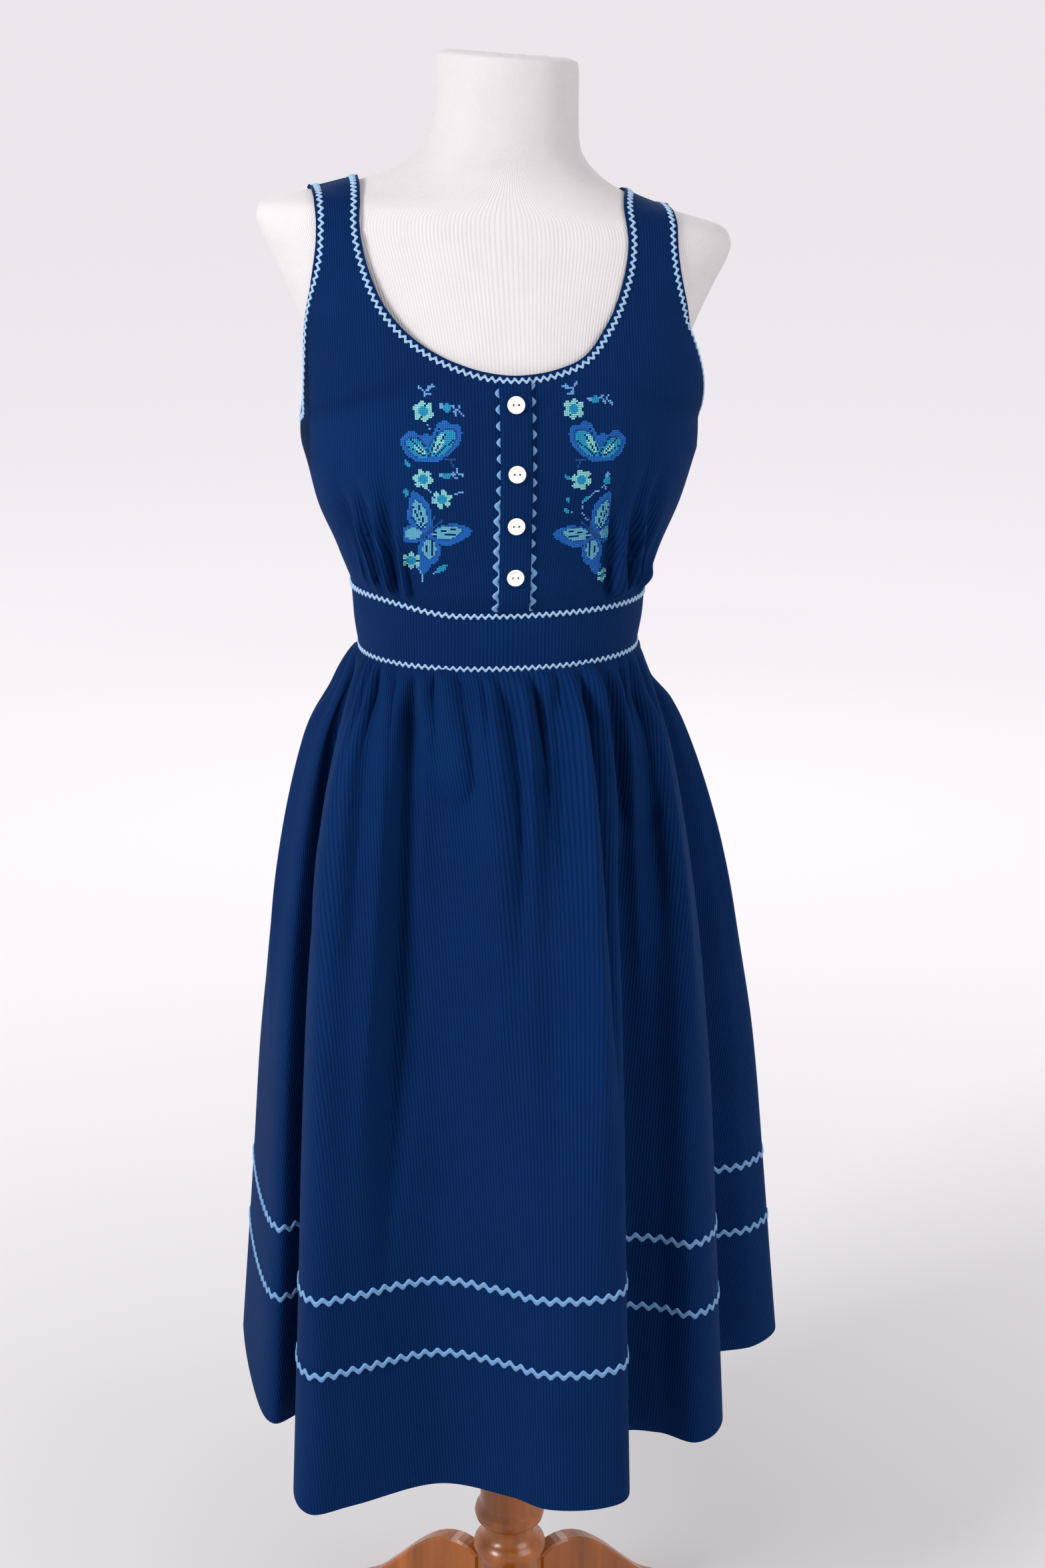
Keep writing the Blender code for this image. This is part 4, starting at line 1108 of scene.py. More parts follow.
def mapped_mesh(name, points, faces, layer, flat):
    """A mesh whose UV map holds the place of each point on something flat."""
    mesh = bpy.data.meshes.new(name)
    mesh.from_pydata(points, [], faces)
    uv = mesh.uv_layers.new(name=layer)
    for loop in mesh.loops:
        uv.data[loop.index].uv = flat[loop.vertex_index]
    return mesh


def worked(mesh, work):
    """The mesh after some work on it in bmesh."""
    build = bmesh.new()
    build.from_mesh(mesh)
    work(build)
    build.to_mesh(mesh)
    build.free()
    return mesh


def outwards(build):
    """Turns the faces of a closed shape outwards."""
    bmesh.ops.recalc_face_normals(build, faces=build.faces)


def welded(build):
    """Joins the points that share a place."""
    bmesh.ops.remove_doubles(build, verts=build.verts, dist=SAME_POINT)


def closed_off(build):
    """Closes the open ends of a shape."""
    bmesh.ops.holes_fill(build, edges=[edge for edge in build.edges if edge.is_boundary])


def cloth_mesh(name, grids, layer="Cloth"):
    """One mesh from grids of points with their places on the flat cloth."""
    points, faces, flat = [], [], []
    for rows, places in grids:
        faces += grid_faces(len(rows), len(rows[0]), len(points))
        points += [p + FORM_AXIS for row in rows for p in row]
        flat += [place for row in places for place in row]
    return worked(mapped_mesh(name, points, faces, layer, flat), welded)


def walled(piece, thickness):
    """Gives the piece a wall inwards from its outer face."""
    wall = piece.modifiers.new("Wall", "SOLIDIFY")
    wall.thickness = thickness
    wall.offset = -1.0
    apply_modifiers(piece)


def sewn_piece(name, grids, stands_for):
    """A thin shell of corduroy whose outer face is made of the grids."""
    piece = new_piece(name, cloth_mesh(name, grids), corduroy(), [stands_for])
    walled(piece, CLOTH)
    piece.data.set_sharp_from_angle(angle=CLOTH_EDGE)


def lay(tree, point, out):
    """The place on the cloth under a point, looking back along the way out of the cloth."""
    place, normal, _, _ = tree.ray_cast(point + out * LAID_FROM, -out, LAID_REACH)
    if place is None:
        place, normal, _, _ = tree.find_nearest(point)
    return place, normal


# Form


def form_point(sizes_there, angle):
    """A point of the form at a section's sizes and an angle."""
    z, half_width, front, behind, squareness = sizes_there
    x, y = ring(angle, half_width, front, behind, squareness)
    lean = NECK_LEAN * ramp(z, NECK_LEAN_FROM_Z, NECK_LEAN_TO_Z)
    return tilted(Vector((x + lean, y, z)))


@cache
def form_rows():
    """The form's outer face from the neck down, and where each place is on its jersey."""
    angles = angles_round(FORM_COLUMNS)
    rows, places = [], []
    for step in range(FORM_STEPS * (len(FORM_SECTIONS) - 1), -1, -1):
        there = section(FORM_SECTIONS, step / FORM_STEPS)
        rows.append([form_point(there, angle) for angle in angles])
        places.append([(angle * JERSEY_RADIUS, there[0]) for angle in angles])
    return rows, places


@cache
def form_tree():
    return tree_of([form_rows()[0]])


def off_the_form(point, room):
    """The point, moved out to where there is that much room between it and the form."""
    place, normal, _, _ = form_tree().find_nearest(point)
    if (point - place).dot(normal) < room:
        return place + normal * room
    return point


def neck_cap_rows():
    """The gathered jersey over the top of the neck, from its middle out to the rim."""
    top_row = form_rows()[0][0]
    middle = sum(top_row[:-1], Vector()) / FORM_COLUMNS
    chance = random.Random(NECK_SEED)
    uneven = [chance.uniform(*NECK_GATHER_SHARES) for _ in range(NECK_GATHERS)]
    rows = []
    for share, height, depth in reversed(NECK_CAP):
        row = []
        for c, rim in enumerate(top_row):
            turn = NECK_GATHERS * c / FORM_COLUMNS
            crimp = uneven[int(turn) % NECK_GATHERS] * math.sin(math.pi * (turn % 1.0))
            point = middle.lerp(rim, share)
            row.append(point + Vector((0.0, 0.0, height + depth * (crimp - 0.5))))
        rows.append(row)
    rows.append(top_row)
    return rows, [[(p.x * NECK_RIBS_CLOSER, p.y) for p in row] for row in rows]


def make_form():
    """The jersey-covered form, whole and closed at both ends."""
    mesh = cloth_mesh("form_jersey", [neck_cap_rows(), form_rows()], "Jersey")
    worked(mesh, closed_off)
    piece = new_piece("form_jersey", mesh, jersey(), ["form_torso"])
    piece.data.set_sharp_from_angle(angle=CLOTH_EDGE)


# Skirt


@cache
def hem_plan():
    """Places along the cut hem, (waist angle, hem x, hem y), and how far along it each one is."""
    folds = [row[1:] for row in HEM_FOLDS]
    folds.append((180.0, *folds[0][1:]))
    before = (folds[-2][0] - 360, *folds[-2][1:])
    after = (folds[1][0] + 360, *folds[1][1:])
    folds = [before, *folds, after]
    knots = [0.0]
    for a, b in zip(folds, folds[1:]):
        knots.append(knots[-1] + math.sqrt(math.dist(a[1:], b[1:])))
    places = [
        spline(knots, folds, knots[1] + (knots[-2] - knots[1]) * i / HEM_SAMPLES)
        for i in range(HEM_SAMPLES + 1)
    ]
    lengths = [0.0]
    for a, b in zip(places, places[1:]):
        lengths.append(lengths[-1] + math.dist(a[1:], b[1:]))
    return places, lengths


def hem_place(share):
    """The waist angle in degrees and the hem's x and y at a share of the way round."""
    places, lengths = hem_plan()
    i, t = between(lengths, share * lengths[-1])
    return [a + (b - a) * t for a, b in zip(places[i], places[i + 1])]


@cache
def skirt_shares():
    """Shares of the way round, close together where the hem or the waist is long."""
    places, lengths = hem_plan()
    measure = [
        length + math.radians(place[0] + 180) * BAND_LOW[0]
        for length, place in zip(lengths, places)
    ]
    shares = [0.0]
    for quarter in range(4):
        ends = []
        for share in (quarter / 4, (quarter + 1) / 4):
            i, t = between(lengths, share * lengths[-1])
            ends.append(measure[i] + (measure[i + 1] - measure[i]) * t)
        for c in range(1, QUARTER_COLUMNS):
            wanted = ends[0] + (ends[1] - ends[0]) * c / QUARTER_COLUMNS
            i, t = between(measure, wanted)
            shares.append((lengths[i] + (lengths[i + 1] - lengths[i]) * t) / lengths[-1])
        shares.append((quarter + 1) / 4)
    return shares


@cache
def gather_plan():
    """Where each gather starts, as a share of the waist, how deep it is, and how far it runs."""
    chance = random.Random(GATHER_SEED)
    widths = [chance.uniform(*GATHER_WIDTHS) for _ in range(GATHERS)]
    starts = [0.0]
    for width in widths:
        starts.append(starts[-1] + width / sum(widths))
    depths = [chance.uniform(*GATHER_DEPTH_SHARES) for _ in range(GATHERS)]
    runs = [chance.choice(GATHER_RUNS) for _ in range(GATHERS)]
    return starts, depths, runs


def gather_stand(share, drop):
    """How far a gather stands out at a share of the waist and a drop below the band."""
    starts, depths, runs = gather_plan()
    i, t = between(starts, share)
    reached = max(drop, 0.0) / runs[i]
    if reached >= GATHER_DEPTH[-1][0]:
        return 0.0
    (depth,) = from_table(GATHER_DEPTH, reached)
    depth *= 1 - SHALLOWER_AT_SIDES * ramp(abs(share - 0.5), SIDES_FROM, SIDES_TO)
    crown = math.sin(math.pi * max(0.0, min(1.0, t))) ** GATHER_ROUNDNESS
    return depth * depths[i] * (crown - GATHER_SUNK)


def skirt_drops():
    """Drops below the waistband, close together in the gathers, and one turned in behind the band."""
    gathered = [GATHERED_DROP * r / GATHERED_ROWS for r in range(GATHERED_ROWS)]
    span = SKIRT_LENGTH - GATHERED_DROP
    hanging = [GATHERED_DROP + span * r / HANGING_ROWS for r in range(HANGING_ROWS + 1)]
    return [-TURNED_DEPTH, *gathered, *hanging]


def crease_heights(drop, row, angles):
    """How far the creases and pouches move a row of the skirt, whose points have those angles."""
    arcs = lengths_along(row)

    def arc_at(angle):
        i, t = between(angles, angle)
        return arcs[i] + (arcs[i + 1] - arcs[i]) * t

    heights = [0.0] * len(row)
    for _, top_angle, top, foot_angle, foot, width, height in SKIRT_CREASES:
        if not top <= drop <= foot:
            continue
        t = (drop - top) / (foot - top)
        full_at = CREASE_FULL_AT + CREASE_FULL_SHARE * (foot - top)
        starting = ramp(drop - top, CREASE_STARTS_AT, full_at)
        strength = height * (1 - ramp(t, SKIRT_CREASE_FADES_FROM, 1.0)) * starting
        middle = arc_at(top_angle + (foot_angle - top_angle) * t)
        for c, arc in enumerate(arcs):
            off = (arc - middle) / width
            if abs(off) < CREASE_REACH:
                heights[c] += strength * math.exp(-(abs(off) ** SKIRT_CREASE_ROUNDNESS))
    for _, angle, middle_drop, half_width, half_height, height in SKIRT_POUCHES:
        down = (drop - middle_drop) / half_height
        if abs(down) >= 1.0:
            continue
        middle = arc_at(angle)
        for c, arc in enumerate(arcs):
            left = 1.0 - down * down - ((arc - middle) / half_width) ** 2
            if left > 0.0:
                heights[c] += height * left ** (POUCH_FOOT_ROUNDNESS if down > 0 else 1.0)
    return heights


@cache
def skirt_ring():
    """The skirt's outer face all round, row by row, with the drop of each row."""
    places = [hem_place(share) for share in skirt_shares()]
    angles = [place[0] for place in places]
    turns = [(angle + 180) / 360 for angle in angles]
    waist = [Vector((*ring(math.radians(a), *BAND_LOW, WAIST_SQUARENESS), 0.0)) for a in angles]
    drops = skirt_drops()
    rows, heights = [], []
    for drop in drops:
        (spread,) = from_table(SKIRT_SPREAD, max(drop, 0.0))
        (held_in,) = from_table(HELD_IN_AT_LEFT, max(drop, 0.0))
        row = []
        for top, (_, hem_x, hem_y) in zip(waist, places):
            there = spread * (1 - held_in * ramp(hem_x, LEFT_FROM_X, LEFT_TO_X))
            point = top.lerp(Vector((hem_x, hem_y, 0.0)), there)
            point.z = BAND_LOW_Z - SEAM - drop
            row.append(point)
        rows.append(row)
        height = crease_heights(drop, row, angles)
        tucked = TURNED_IN * (1 - ramp(drop, OUT_OF_BAND_FROM, OUT_OF_BAND_TO))
        heights.append([h + gather_stand(t, drop) - tucked for h, t in zip(height, turns)])
    rows = pushed(rows, heights, closed=True)
    for r, drop in enumerate(drops):
        room = min(HIP_ROOM, WAIST_ROOM - TURNED_IN + drop)
        rows[r] = [off_the_form(point, room) for point in rows[r]]
    return drops, rows


@cache
def skirt_tree():
    return tree_of([skirt_ring()[1]])


def make_skirt():
    """Three panels, cut flared and gathered into the waistband."""
    drops, ring_rows = skirt_ring()
    hem_length = hem_plan()[1][-1]
    panels = (
        # name, first and last quarter, share where the grain is straight
        ("skirt_back_right", 0, 1, 0.00),
        ("skirt_front", 1, 3, 0.50),
        ("skirt_back_left", 3, 4, 1.00),
    )
    for name, first, last, grain in panels:
        low, high = first * QUARTER_COLUMNS, last * QUARTER_COLUMNS
        shares = skirt_shares()[low : high + 1]
        rows, places = [], []
        for drop, row in zip(drops, ring_rows):
            wide = TOP_SHARE_OF_CUT + (1 - TOP_SHARE_OF_CUT) * drop / SKIRT_LENGTH
            rows.append(row[low : high + 1])
            places.append([((share - grain) * hem_length * wide, drop) for share in shares])
        sewn_piece(f"sewn_{name}", [(parted(rows, SEAM_GAP), places)], name)


# Waistband


def right_lift(x, z):
    """How much higher than on the left the cloth hangs at the wearer's right, about the waist."""
    return (
        RIGHT_LIFT
        * ramp(-x, LIFT_FROM_X, LIFT_TO_X)
        * (1 - ramp(z, BAND_TOP_Z, BAND_TOP_Z + LIFT_FADES_OVER))
    )


def band_point(angle, z):
    """A point of the waistband's outer face, as it is cut."""
    t = (z - BAND_LOW_Z) / (BAND_TOP_Z - BAND_LOW_Z)
    sizes_there = [low + (top - low) * t for low, top in zip(BAND_LOW, BAND_TOP)]
    x, y = ring(angle, *sizes_there, WAIST_SQUARENESS)
    return Vector((x, y, z + right_lift(x, z) * max(0.0, t)))


@cache
def band_rows():
    """The waistband's outer face from its top edge down, with a soft roll at both edges."""
    angles = angles_round(BAND_COLUMNS)
    rows, heights = [], []
    for r in range(BAND_ROWS + 1):
        t = r / BAND_ROWS
        z = BAND_TOP_Z - (BAND_TOP_Z - BAND_LOW_Z + BAND_OVERLAP) * t
        rows.append([band_point(angle, z) for angle in angles])
        crown = math.sin(math.pi * t)
        heights.append(
            [BAND_BELLY * crown + BAND_WAVER * math.sin(9 * a + 5 * t) * crown for a in angles]
        )
    return pushed(rows, heights, closed=True)


@cache
def band_tree():
    """The band, carried on a little below its lower edge, where the ricrac hides the seam."""
    angles = angles_round(BAND_COLUMNS)
    below = [band_point(angle, BAND_LOW_Z - BAND_CARRIED_ON) for angle in angles]
    return tree_of([[*band_rows(), below]])


def make_waistband():
    """A straight band round the waist that opens at the centre back."""
    rows = [list(row) for row in band_rows()]
    places = []
    for row in rows:
        girth = lengths_along(row)[-1]
        places.append([(girth * (c / BAND_COLUMNS - 0.5), row[0].z) for c in range(len(row))])
    sewn_piece("sewn_waistband", [(parted(rows, SEAM_GAP), places)], "waistband")


# Bodice


def tuck_stand(across, height):
    """How far the front stands out in a tuck. The tucks fade out above the waist."""
    if not TUCK_START < across < TUCK_END:
        return 0.0
    place = (across - TUCK_START) / (TUCK_END - TUCK_START)
    wave = 0.5 - 0.5 * math.cos(2 * math.pi * TUCKS * place)
    reach = TUCK_REACH * (TUCK_SHORTEST + TUCK_LONGER * math.sin(math.pi * place))
    fade = 1 - ramp(height, 0.0, reach)
    root = TUCK_IN_SEAM + TUCK_OUT_OF_SEAM * ramp(height, 0.0, TUCK_OUT_AT)
    return TUCK_DEPTH * wave * fade * root


def line_crease(creases, x, z):
    """How far some creases move the bodice at a place seen from the front or back."""
    moved = 0.0
    for _, foot_x, foot_z, top_x, top_z, width, height in creases:
        line_x, line_z = top_x - foot_x, top_z - foot_z
        long = line_x * line_x + line_z * line_z
        t = ((x - foot_x) * line_x + (z - foot_z) * line_z) / long
        if not -BODICE_CREASE_LEAD < t < 1.0:
            continue
        off = ((x - foot_x) * line_z - (z - foot_z) * line_x) / math.sqrt(long) / width
        if abs(off) < CREASE_REACH:
            in_seam = foot_z < IN_WAIST_SEAM_Z
            start = 1.0 if in_seam else ramp(t, -BODICE_CREASE_LEAD, BODICE_CREASE_FULL)
            clear = ramp(z, BAND_TOP_Z, BAND_TOP_Z + BODICE_CREASE_CLEAR)
            fade = start * (1 - ramp(t, BODICE_CREASE_FADES_FROM, 1.0)) * clear
            moved += height * fade * math.exp(-(abs(off) ** BODICE_CREASE_ROUNDNESS))
    return moved


def bodice_point(table, at, across, side):
    """A point of half a bodice, at a section (by number) and a place across it."""
    edge_x, edge_y, edge_z, mid_x, mid_y, mid_z, squareness = section(table, at)
    if at <= UNDERARM_ROW:
        edge_y, mid_x = 0.0, 0.0
    elif at < UNDERARM_ROW + 1:
        low, high = table[UNDERARM_ROW], table[UNDERARM_ROW + 1]
        share = (mid_x / high[4]) ** 2
        mid_y = low[5] + (high[5] - low[5]) * share
        mid_z = low[6] + (high[6] - low[6]) * share
    if side > 0 and table is BODICE_FRONT:
        mid_x -= LEFT_STRAP_FULLNESS * swell(at, *LEFT_STRAP_SECTIONS)
    turn = across * math.pi / 2
    to_middle = power(math.sin(turn), 2 / squareness)
    to_edge = power(math.cos(turn), 2 / squareness)
    x = mid_x + (edge_x - mid_x) * to_edge
    y = edge_y + (mid_y - edge_y) * to_middle
    z = edge_z + (mid_z - edge_z) * (1 - abs(math.cos(turn)) ** SECTION_SAG)
    if table is BODICE_FRONT:
        out = Vector((x, y)).normalized() * tuck_stand(across, z - BAND_TOP_Z)
        x, y = x + out.x, y + out.y
    if side > 0:
        x += LEFT_FULLNESS * swell(z, *LEFT_FULL_Z) * x / LEFT_FULL_AT_X
    askew = STRAP_SHIFT * ramp(z, SHIFT_FROM_Z, SHIFT_TO_Z)
    return tilted(Vector((side * x + askew, y, z)))


def eased(rows, first, last, passes):
    """The grid with its inner points drawn towards their neighbours between two rows."""
    for _ in range(passes):
        inner = []
        for r in range(first, last):
            row, above, below = rows[r], rows[r - 1], rows[r + 1]
            middle = [
                row[c] * 0.5 + (above[c] + below[c] + row[c - 1] + row[c + 1]) * 0.125
                for c in range(1, len(row) - 1)
            ]
            inner.append([row[0], *middle, row[-1]])
        rows = [*rows[:first], *inner, *rows[last:]]
    return rows


def bodice_room(at):
    """The room between the form and the bodice's outer face at a section."""
    if at == 0:
        return WAIST_ROOM
    return BODICE_ROOM + (STRAP_ROOM - BODICE_ROOM) * ramp(at, *BODICE_ROOM_SECTIONS)


@cache
def half_bodice(front, side):
    """Half a bodice from the shoulder down, with the place of each point on the flat cloth."""
    table = BODICE_FRONT if front else BODICE_BACK
    creases = BODICE_CREASES if front else BACK_CREASES
    columns = [c / HALF_COLUMNS for c in range(HALF_COLUMNS + 1)]
    stops = [r / ROWS_A_SECTION for r in range(SHOULDER_ROW * ROWS_A_SECTION, -1, -1)]
    rows = [[bodice_point(table, at, a, side) for a in columns] for at in stops]
    if front == (side > 0):
        rows = [row[::-1] for row in rows]
    rows = eased(rows, stops.index(EASED_FROM), stops.index(EASED_TO), EASINGS)
    heights = [[line_crease(creases, p.x, p.z) for p in row] for row in rows]
    rows = pushed(rows, heights)
    rows = [[p + Vector((0.0, 0.0, right_lift(p.x, p.z))) for p in row] for row in rows]
    rows = [
        [off_the_form(p, bodice_room(at)) for p in row]
        for at, row in zip(stops, rows)
    ]
    turned_in = [p - Vector((p.x, p.y, 0.0)).normalized() * TURNED_IN for p in rows[-1]]
    rows.append([p - Vector((0.0, 0.0, TURNED_DEPTH)) for p in turned_in])
    return rows, flat_bodice(rows, stops, side)


def flat_bodice(rows, stops, side):
    """Places on the flat cloth: the wales run down each column below the bust, and upright above."""
    bust_row = stops.index(BUST_ROW)
    bust = rows[bust_row]
    arcs, spots = lengths_along(bust), [abs(p.x) for p in bust]
    if spots[0] < spots[-1]:
        from_middle = arcs
    else:
        from_middle = [arcs[-1] - arc for arc in arcs]
    order = sorted(zip(spots, from_middle))
    knots = [spot for spot, _ in order]

    def across_at(x):
        i, t = between(knots, x)
        return order[i][1] + (order[i + 1][1] - order[i][1]) * t

    places = []
    for r, down in enumerate(lengths_along([row[HALF_COLUMNS // 2] for row in rows])):
        line = []
        for c, p in enumerate(rows[r]):
            across = from_middle[c] if r >= bust_row else across_at(abs(p.x))
            line.append((side * across, -down))
        places.append(line)
    return places


def bodice_grids():
    """The outer faces of the whole bodice."""
    return [half_bodice(front, side)[0] for front in (True, False) for side in (-1, 1)]


@cache
def bodice_tree():
    return tree_of(bodice_grids())


def make_bodice():
    """The front in one piece with its tucks, and two backs."""
    sewn_piece(
        "sewn_bodice_front", [half_bodice(True, side) for side in (-1, 1)], "bodice_front"
    )
    for name, side in (("bodice_back_right", -1), ("bodice_back_left", 1)):
        rows, places = half_bodice(False, side)
        rows = parted([list(row) for row in rows], SEAM_GAP)
        sewn_piece(f"sewn_{name}", [(rows, places)], name)


# Placket


def front_middle(at, x):
    """The point of the front's outer face at a section and a small distance from the middle."""
    edge_x, *_, squareness = section(BODICE_FRONT, at)
    across = math.acos((abs(x) / edge_x) ** (squareness / 2)) * 2 / math.pi
    point = bodice_point(BODICE_FRONT, at, across, 1 if x >= 0 else -1)
    return off_the_form(point, BODICE_ROOM if at > IN_WAIST_SEAM_TO_ROW else WAIST_ROOM)


def outwards_at(at):
    """The way out of the cloth at the middle of the front."""
    above = front_middle(min(at + FRONT_STEP, FRONT_END), 0.0)
    below = front_middle(max(at - FRONT_STEP, 0.0), 0.0)
    return Vector((1.0, 0.0, 0.0)).cross(above - below).normalized()


@cache
def placket_rows():
    """The false front band from the neckline down, with rolled edges."""
    profile = [(-share, height) for share, height in PLACKET_PROFILE]
    profile += [(share, height) for share, height in reversed(PLACKET_PROFILE[:-1])]
    middle = len(PLACKET_PROFILE) - 1
    rows, places = [], []
    for r in range(PLACKET_ROWS + 1):
        at = PLACKET_TOP_ROW * (1 - r / PLACKET_ROWS)
        out = outwards_at(at)
        top = 1 - PLACKET_TOP_FLATNESS * (1 - ramp(r, 0, PLACKET_END_ROWS))
        foot = 1 - PLACKET_FOOT_FLATNESS * ramp(r, PLACKET_ROWS - PLACKET_END_ROWS, PLACKET_ROWS)
        row = [front_middle(at, s * PLACKET_HALF) + out * (h * top * foot) for s, h in profile]
        down = row[middle].z
        rows.append(row)
        places.append([(s * PLACKET_HALF + PLACKET_RIB_SHIFT, down) for s, _ in profile])
    return rows, places


def make_placket():
    """A false front band, rolled under at its edges and laid on the bodice."""
    rows, places = placket_rows()
    piece = new_piece(
        "sewn_placket", cloth_mesh("sewn_placket", [(rows, places)]), corduroy(),
        ["placket"],
    )
    walled(piece, PLACKET_CLOTH)


# Ricrac


def ricrac(name, guide, tree, kind, stands_for, closed=False):
    """Wavy braid along a guide of (place, way out), laid on the cloth of that tree."""
    pitch, reach, strand = kind
    lengths = lengths_along([place for place, _ in guide])
    waves = max(2, round(lengths[-1] / pitch))
    count = waves * STATIONS_A_WAVE
    points, faces, flat = [], [], []
    size = len(RICRAC_PROFILE)
    for s in range(count if closed else count + 1):
        along = lengths[-1] * s / count
        i, t = between(lengths, along)
        middle = guide[i][0].lerp(guide[i + 1][0], t)
        out = guide[i][1].lerp(guide[i + 1][1], t).normalized()
        across = out.cross(guide[i + 1][0] - guide[i][0]).normalized()
        swing = math.sin(2 * math.pi * s / STATIONS_A_WAVE)
        for share, height in RICRAC_PROFILE:
            spot = middle + across * (reach * swing + share * strand / 2)
            place, _ = lay(tree, spot, out)
            points.append(place + out * (RICRAC_LIFT + height * RICRAC_THICKNESS) + FORM_AXIS)
            flat.append((along, 0.5 + share / 2))
    for s in range(count):
        here, there = size * s, size * ((s + 1) % (len(points) // size))
        for a in range(size):
            b = (a + 1) % size
            faces.append((here + a, there + a, there + b, here + b))
    if not closed:
        faces.append(tuple(range(size)))
        faces.append(tuple(range(len(points) - 1, len(points) - 1 - size, -1)))
    mesh = worked(mapped_mesh(name, points, faces, "Braid", flat), outwards)
    colour = "ricrac" if kind is NARROW_RICRAC else "wide_ricrac"
    new_piece(name, mesh, ricrac_braid(colour), [stands_for])


def band_guide(z):
    """A line round the waistband at one height."""
    guide = []
    for c in range(BAND_STEPS + 1):
        sewn = 2 * math.pi - 2 * BAND_OPENING_ANGLE
        angle = -math.pi + BAND_OPENING_ANGLE + sewn * c / BAND_STEPS
        point = band_point(angle, z)
        near = band_point(angle + BAND_ASIDE, z) - band_point(angle - BAND_ASIDE, z)
        up = band_point(angle, z + BAND_ASIDE) - point
        guide.append((point, near.cross(up).normalized()))
    return guide


def skirt_guide(z):
    """A line round the skirt at one height."""
    drop = BAND_LOW_Z - SEAM - z
    drops, rows = skirt_ring()
    r, t = between(drops, drop)
    line = [high.lerp(low, t) for high, low in zip(rows[r], rows[r + 1])]
    guide = []
    for c, point in enumerate(line[:-1]):
        side = line[c + 1] - line[c - 1 if c else -2]
        up = rows[r][c] - rows[r + 1][c]
        guide.append((point, side.cross(up).normalized()))
    return [*guide, guide[0]]


def edge_guide(across, sides, closed):
    """A line just inside the neckline (across 1) or an armhole (across 0) of the bodice."""
    tree = bodice_tree()
    count = EDGE_STEPS_A_SECTION * (SHOULDER_ROW - UNDERARM_ROW)
    stops = [UNDERARM_ROW + r / EDGE_STEPS_A_SECTION for r in range(count + 1)]
    curve = []
    for side, forwards in sides:
        front = [bodice_point(BODICE_FRONT, at, across, side) for at in stops]
        back = [bodice_point(BODICE_BACK, at, across, side) for at in reversed(stops)]
        line = [*front, *back]
        curve += line if forwards else line[::-1]
    spaced = [p for p, q in zip(curve, curve[1:]) if (p - q).length > EDGE_SPACING]
    curve = [off_the_form(p, BODICE_ROOM) for p in (*spaced, curve[-1])]
    if closed:
        curve.append(curve[0])
    last = len(curve) - 1
    guide = []
    for c, point in enumerate(curve):
        before = curve[c - 1] if c else curve[-2] if closed else point
        after = curve[c + 1] if c < last else curve[1] if closed else point
        _, normal, _, _ = tree.find_nearest(point)
        inwards = normal.cross(after - before).normalized()
        place, out, _, _ = tree.find_nearest(point + inwards * EDGE_TO_RICRAC)
        guide.append((place, out))
    return smoothed(guide)


def smoothed(guide):
    """The guide with its kinks and turns of direction eased."""
    for _ in range(EDGE_EASINGS):
        inner = [
            ((a[0] + b[0] * 2 + c[0]) / 4, (a[1] + b[1] * 2 + c[1]).normalized())
            for a, b, c in zip(guide, guide[1:], guide[2:])
        ]
        guide = [guide[0], *inner, guide[-1]]
    return guide


def placket_guide(side):
    """A line along an edge of the placket, where its braid is tucked under."""
    high, low, start, end = PLACKET_RICRAC[side]
    guide = []
    for r in range(PLACKET_ROWS + 1):
        at = PLACKET_BRAID_FROM + PLACKET_BRAID_RUN * r / PLACKET_ROWS
        shown = low + (high - low) * ramp(at, start, end)
        x = side * (PLACKET_HALF + shown - WIDE_RICRAC[1] - WIDE_RICRAC[2] / 2)
        guide.append((front_middle(at, x), outwards_at(at)))
    return guide


def neck_tree():
    """The bodice with the placket on it."""
    return tree_of([*bodice_grids(), placket_rows()[0]])


def make_ricrac():
    """All rows of ricrac, each sewn on as a piece of its own."""
    skirt, band, bodice = skirt_tree(), band_tree(), bodice_tree()
    edges = (
        ("upper", BAND_TOP_Z - BAND_RICRAC_BELOW_TOP),
        ("lower", BAND_LOW_Z - BAND_RICRAC_BELOW_FOOT),
    )
    for name, z in edges:
        guide = band_guide(z)
        ricrac(f"ricrac_waist_{name}", guide, band, NARROW_RICRAC, f"braid_waist_{name}")
    for name, z in (("upper", UPPER_RICRAC_Z), ("lower", LOWER_RICRAC_Z)):
        guide = skirt_guide(z)
        stands_for = f"braid_skirt_{name}"
        ricrac(f"ricrac_skirt_{name}", guide, skirt, SKIRT_RICRAC, stands_for, closed=True)
    neckline = edge_guide(1.0, ((1, False), (-1, True)), closed=False)
    ricrac("ricrac_neck", neckline, neck_tree(), NARROW_RICRAC, "braid_neck")
    for name, side in (("left", 1), ("right", -1)):
        armhole = edge_guide(0.0, ((side, side > 0),), closed=True)
        stands_for = f"braid_armhole_{name}"
        ricrac(f"ricrac_armhole_{name}", armhole, bodice, NARROW_RICRAC, stands_for, closed=True)
        edge = placket_guide(side)
        ricrac(f"ricrac_placket_{name}", edge, bodice, WIDE_RICRAC, f"braid_placket_{name}")


# Buttons


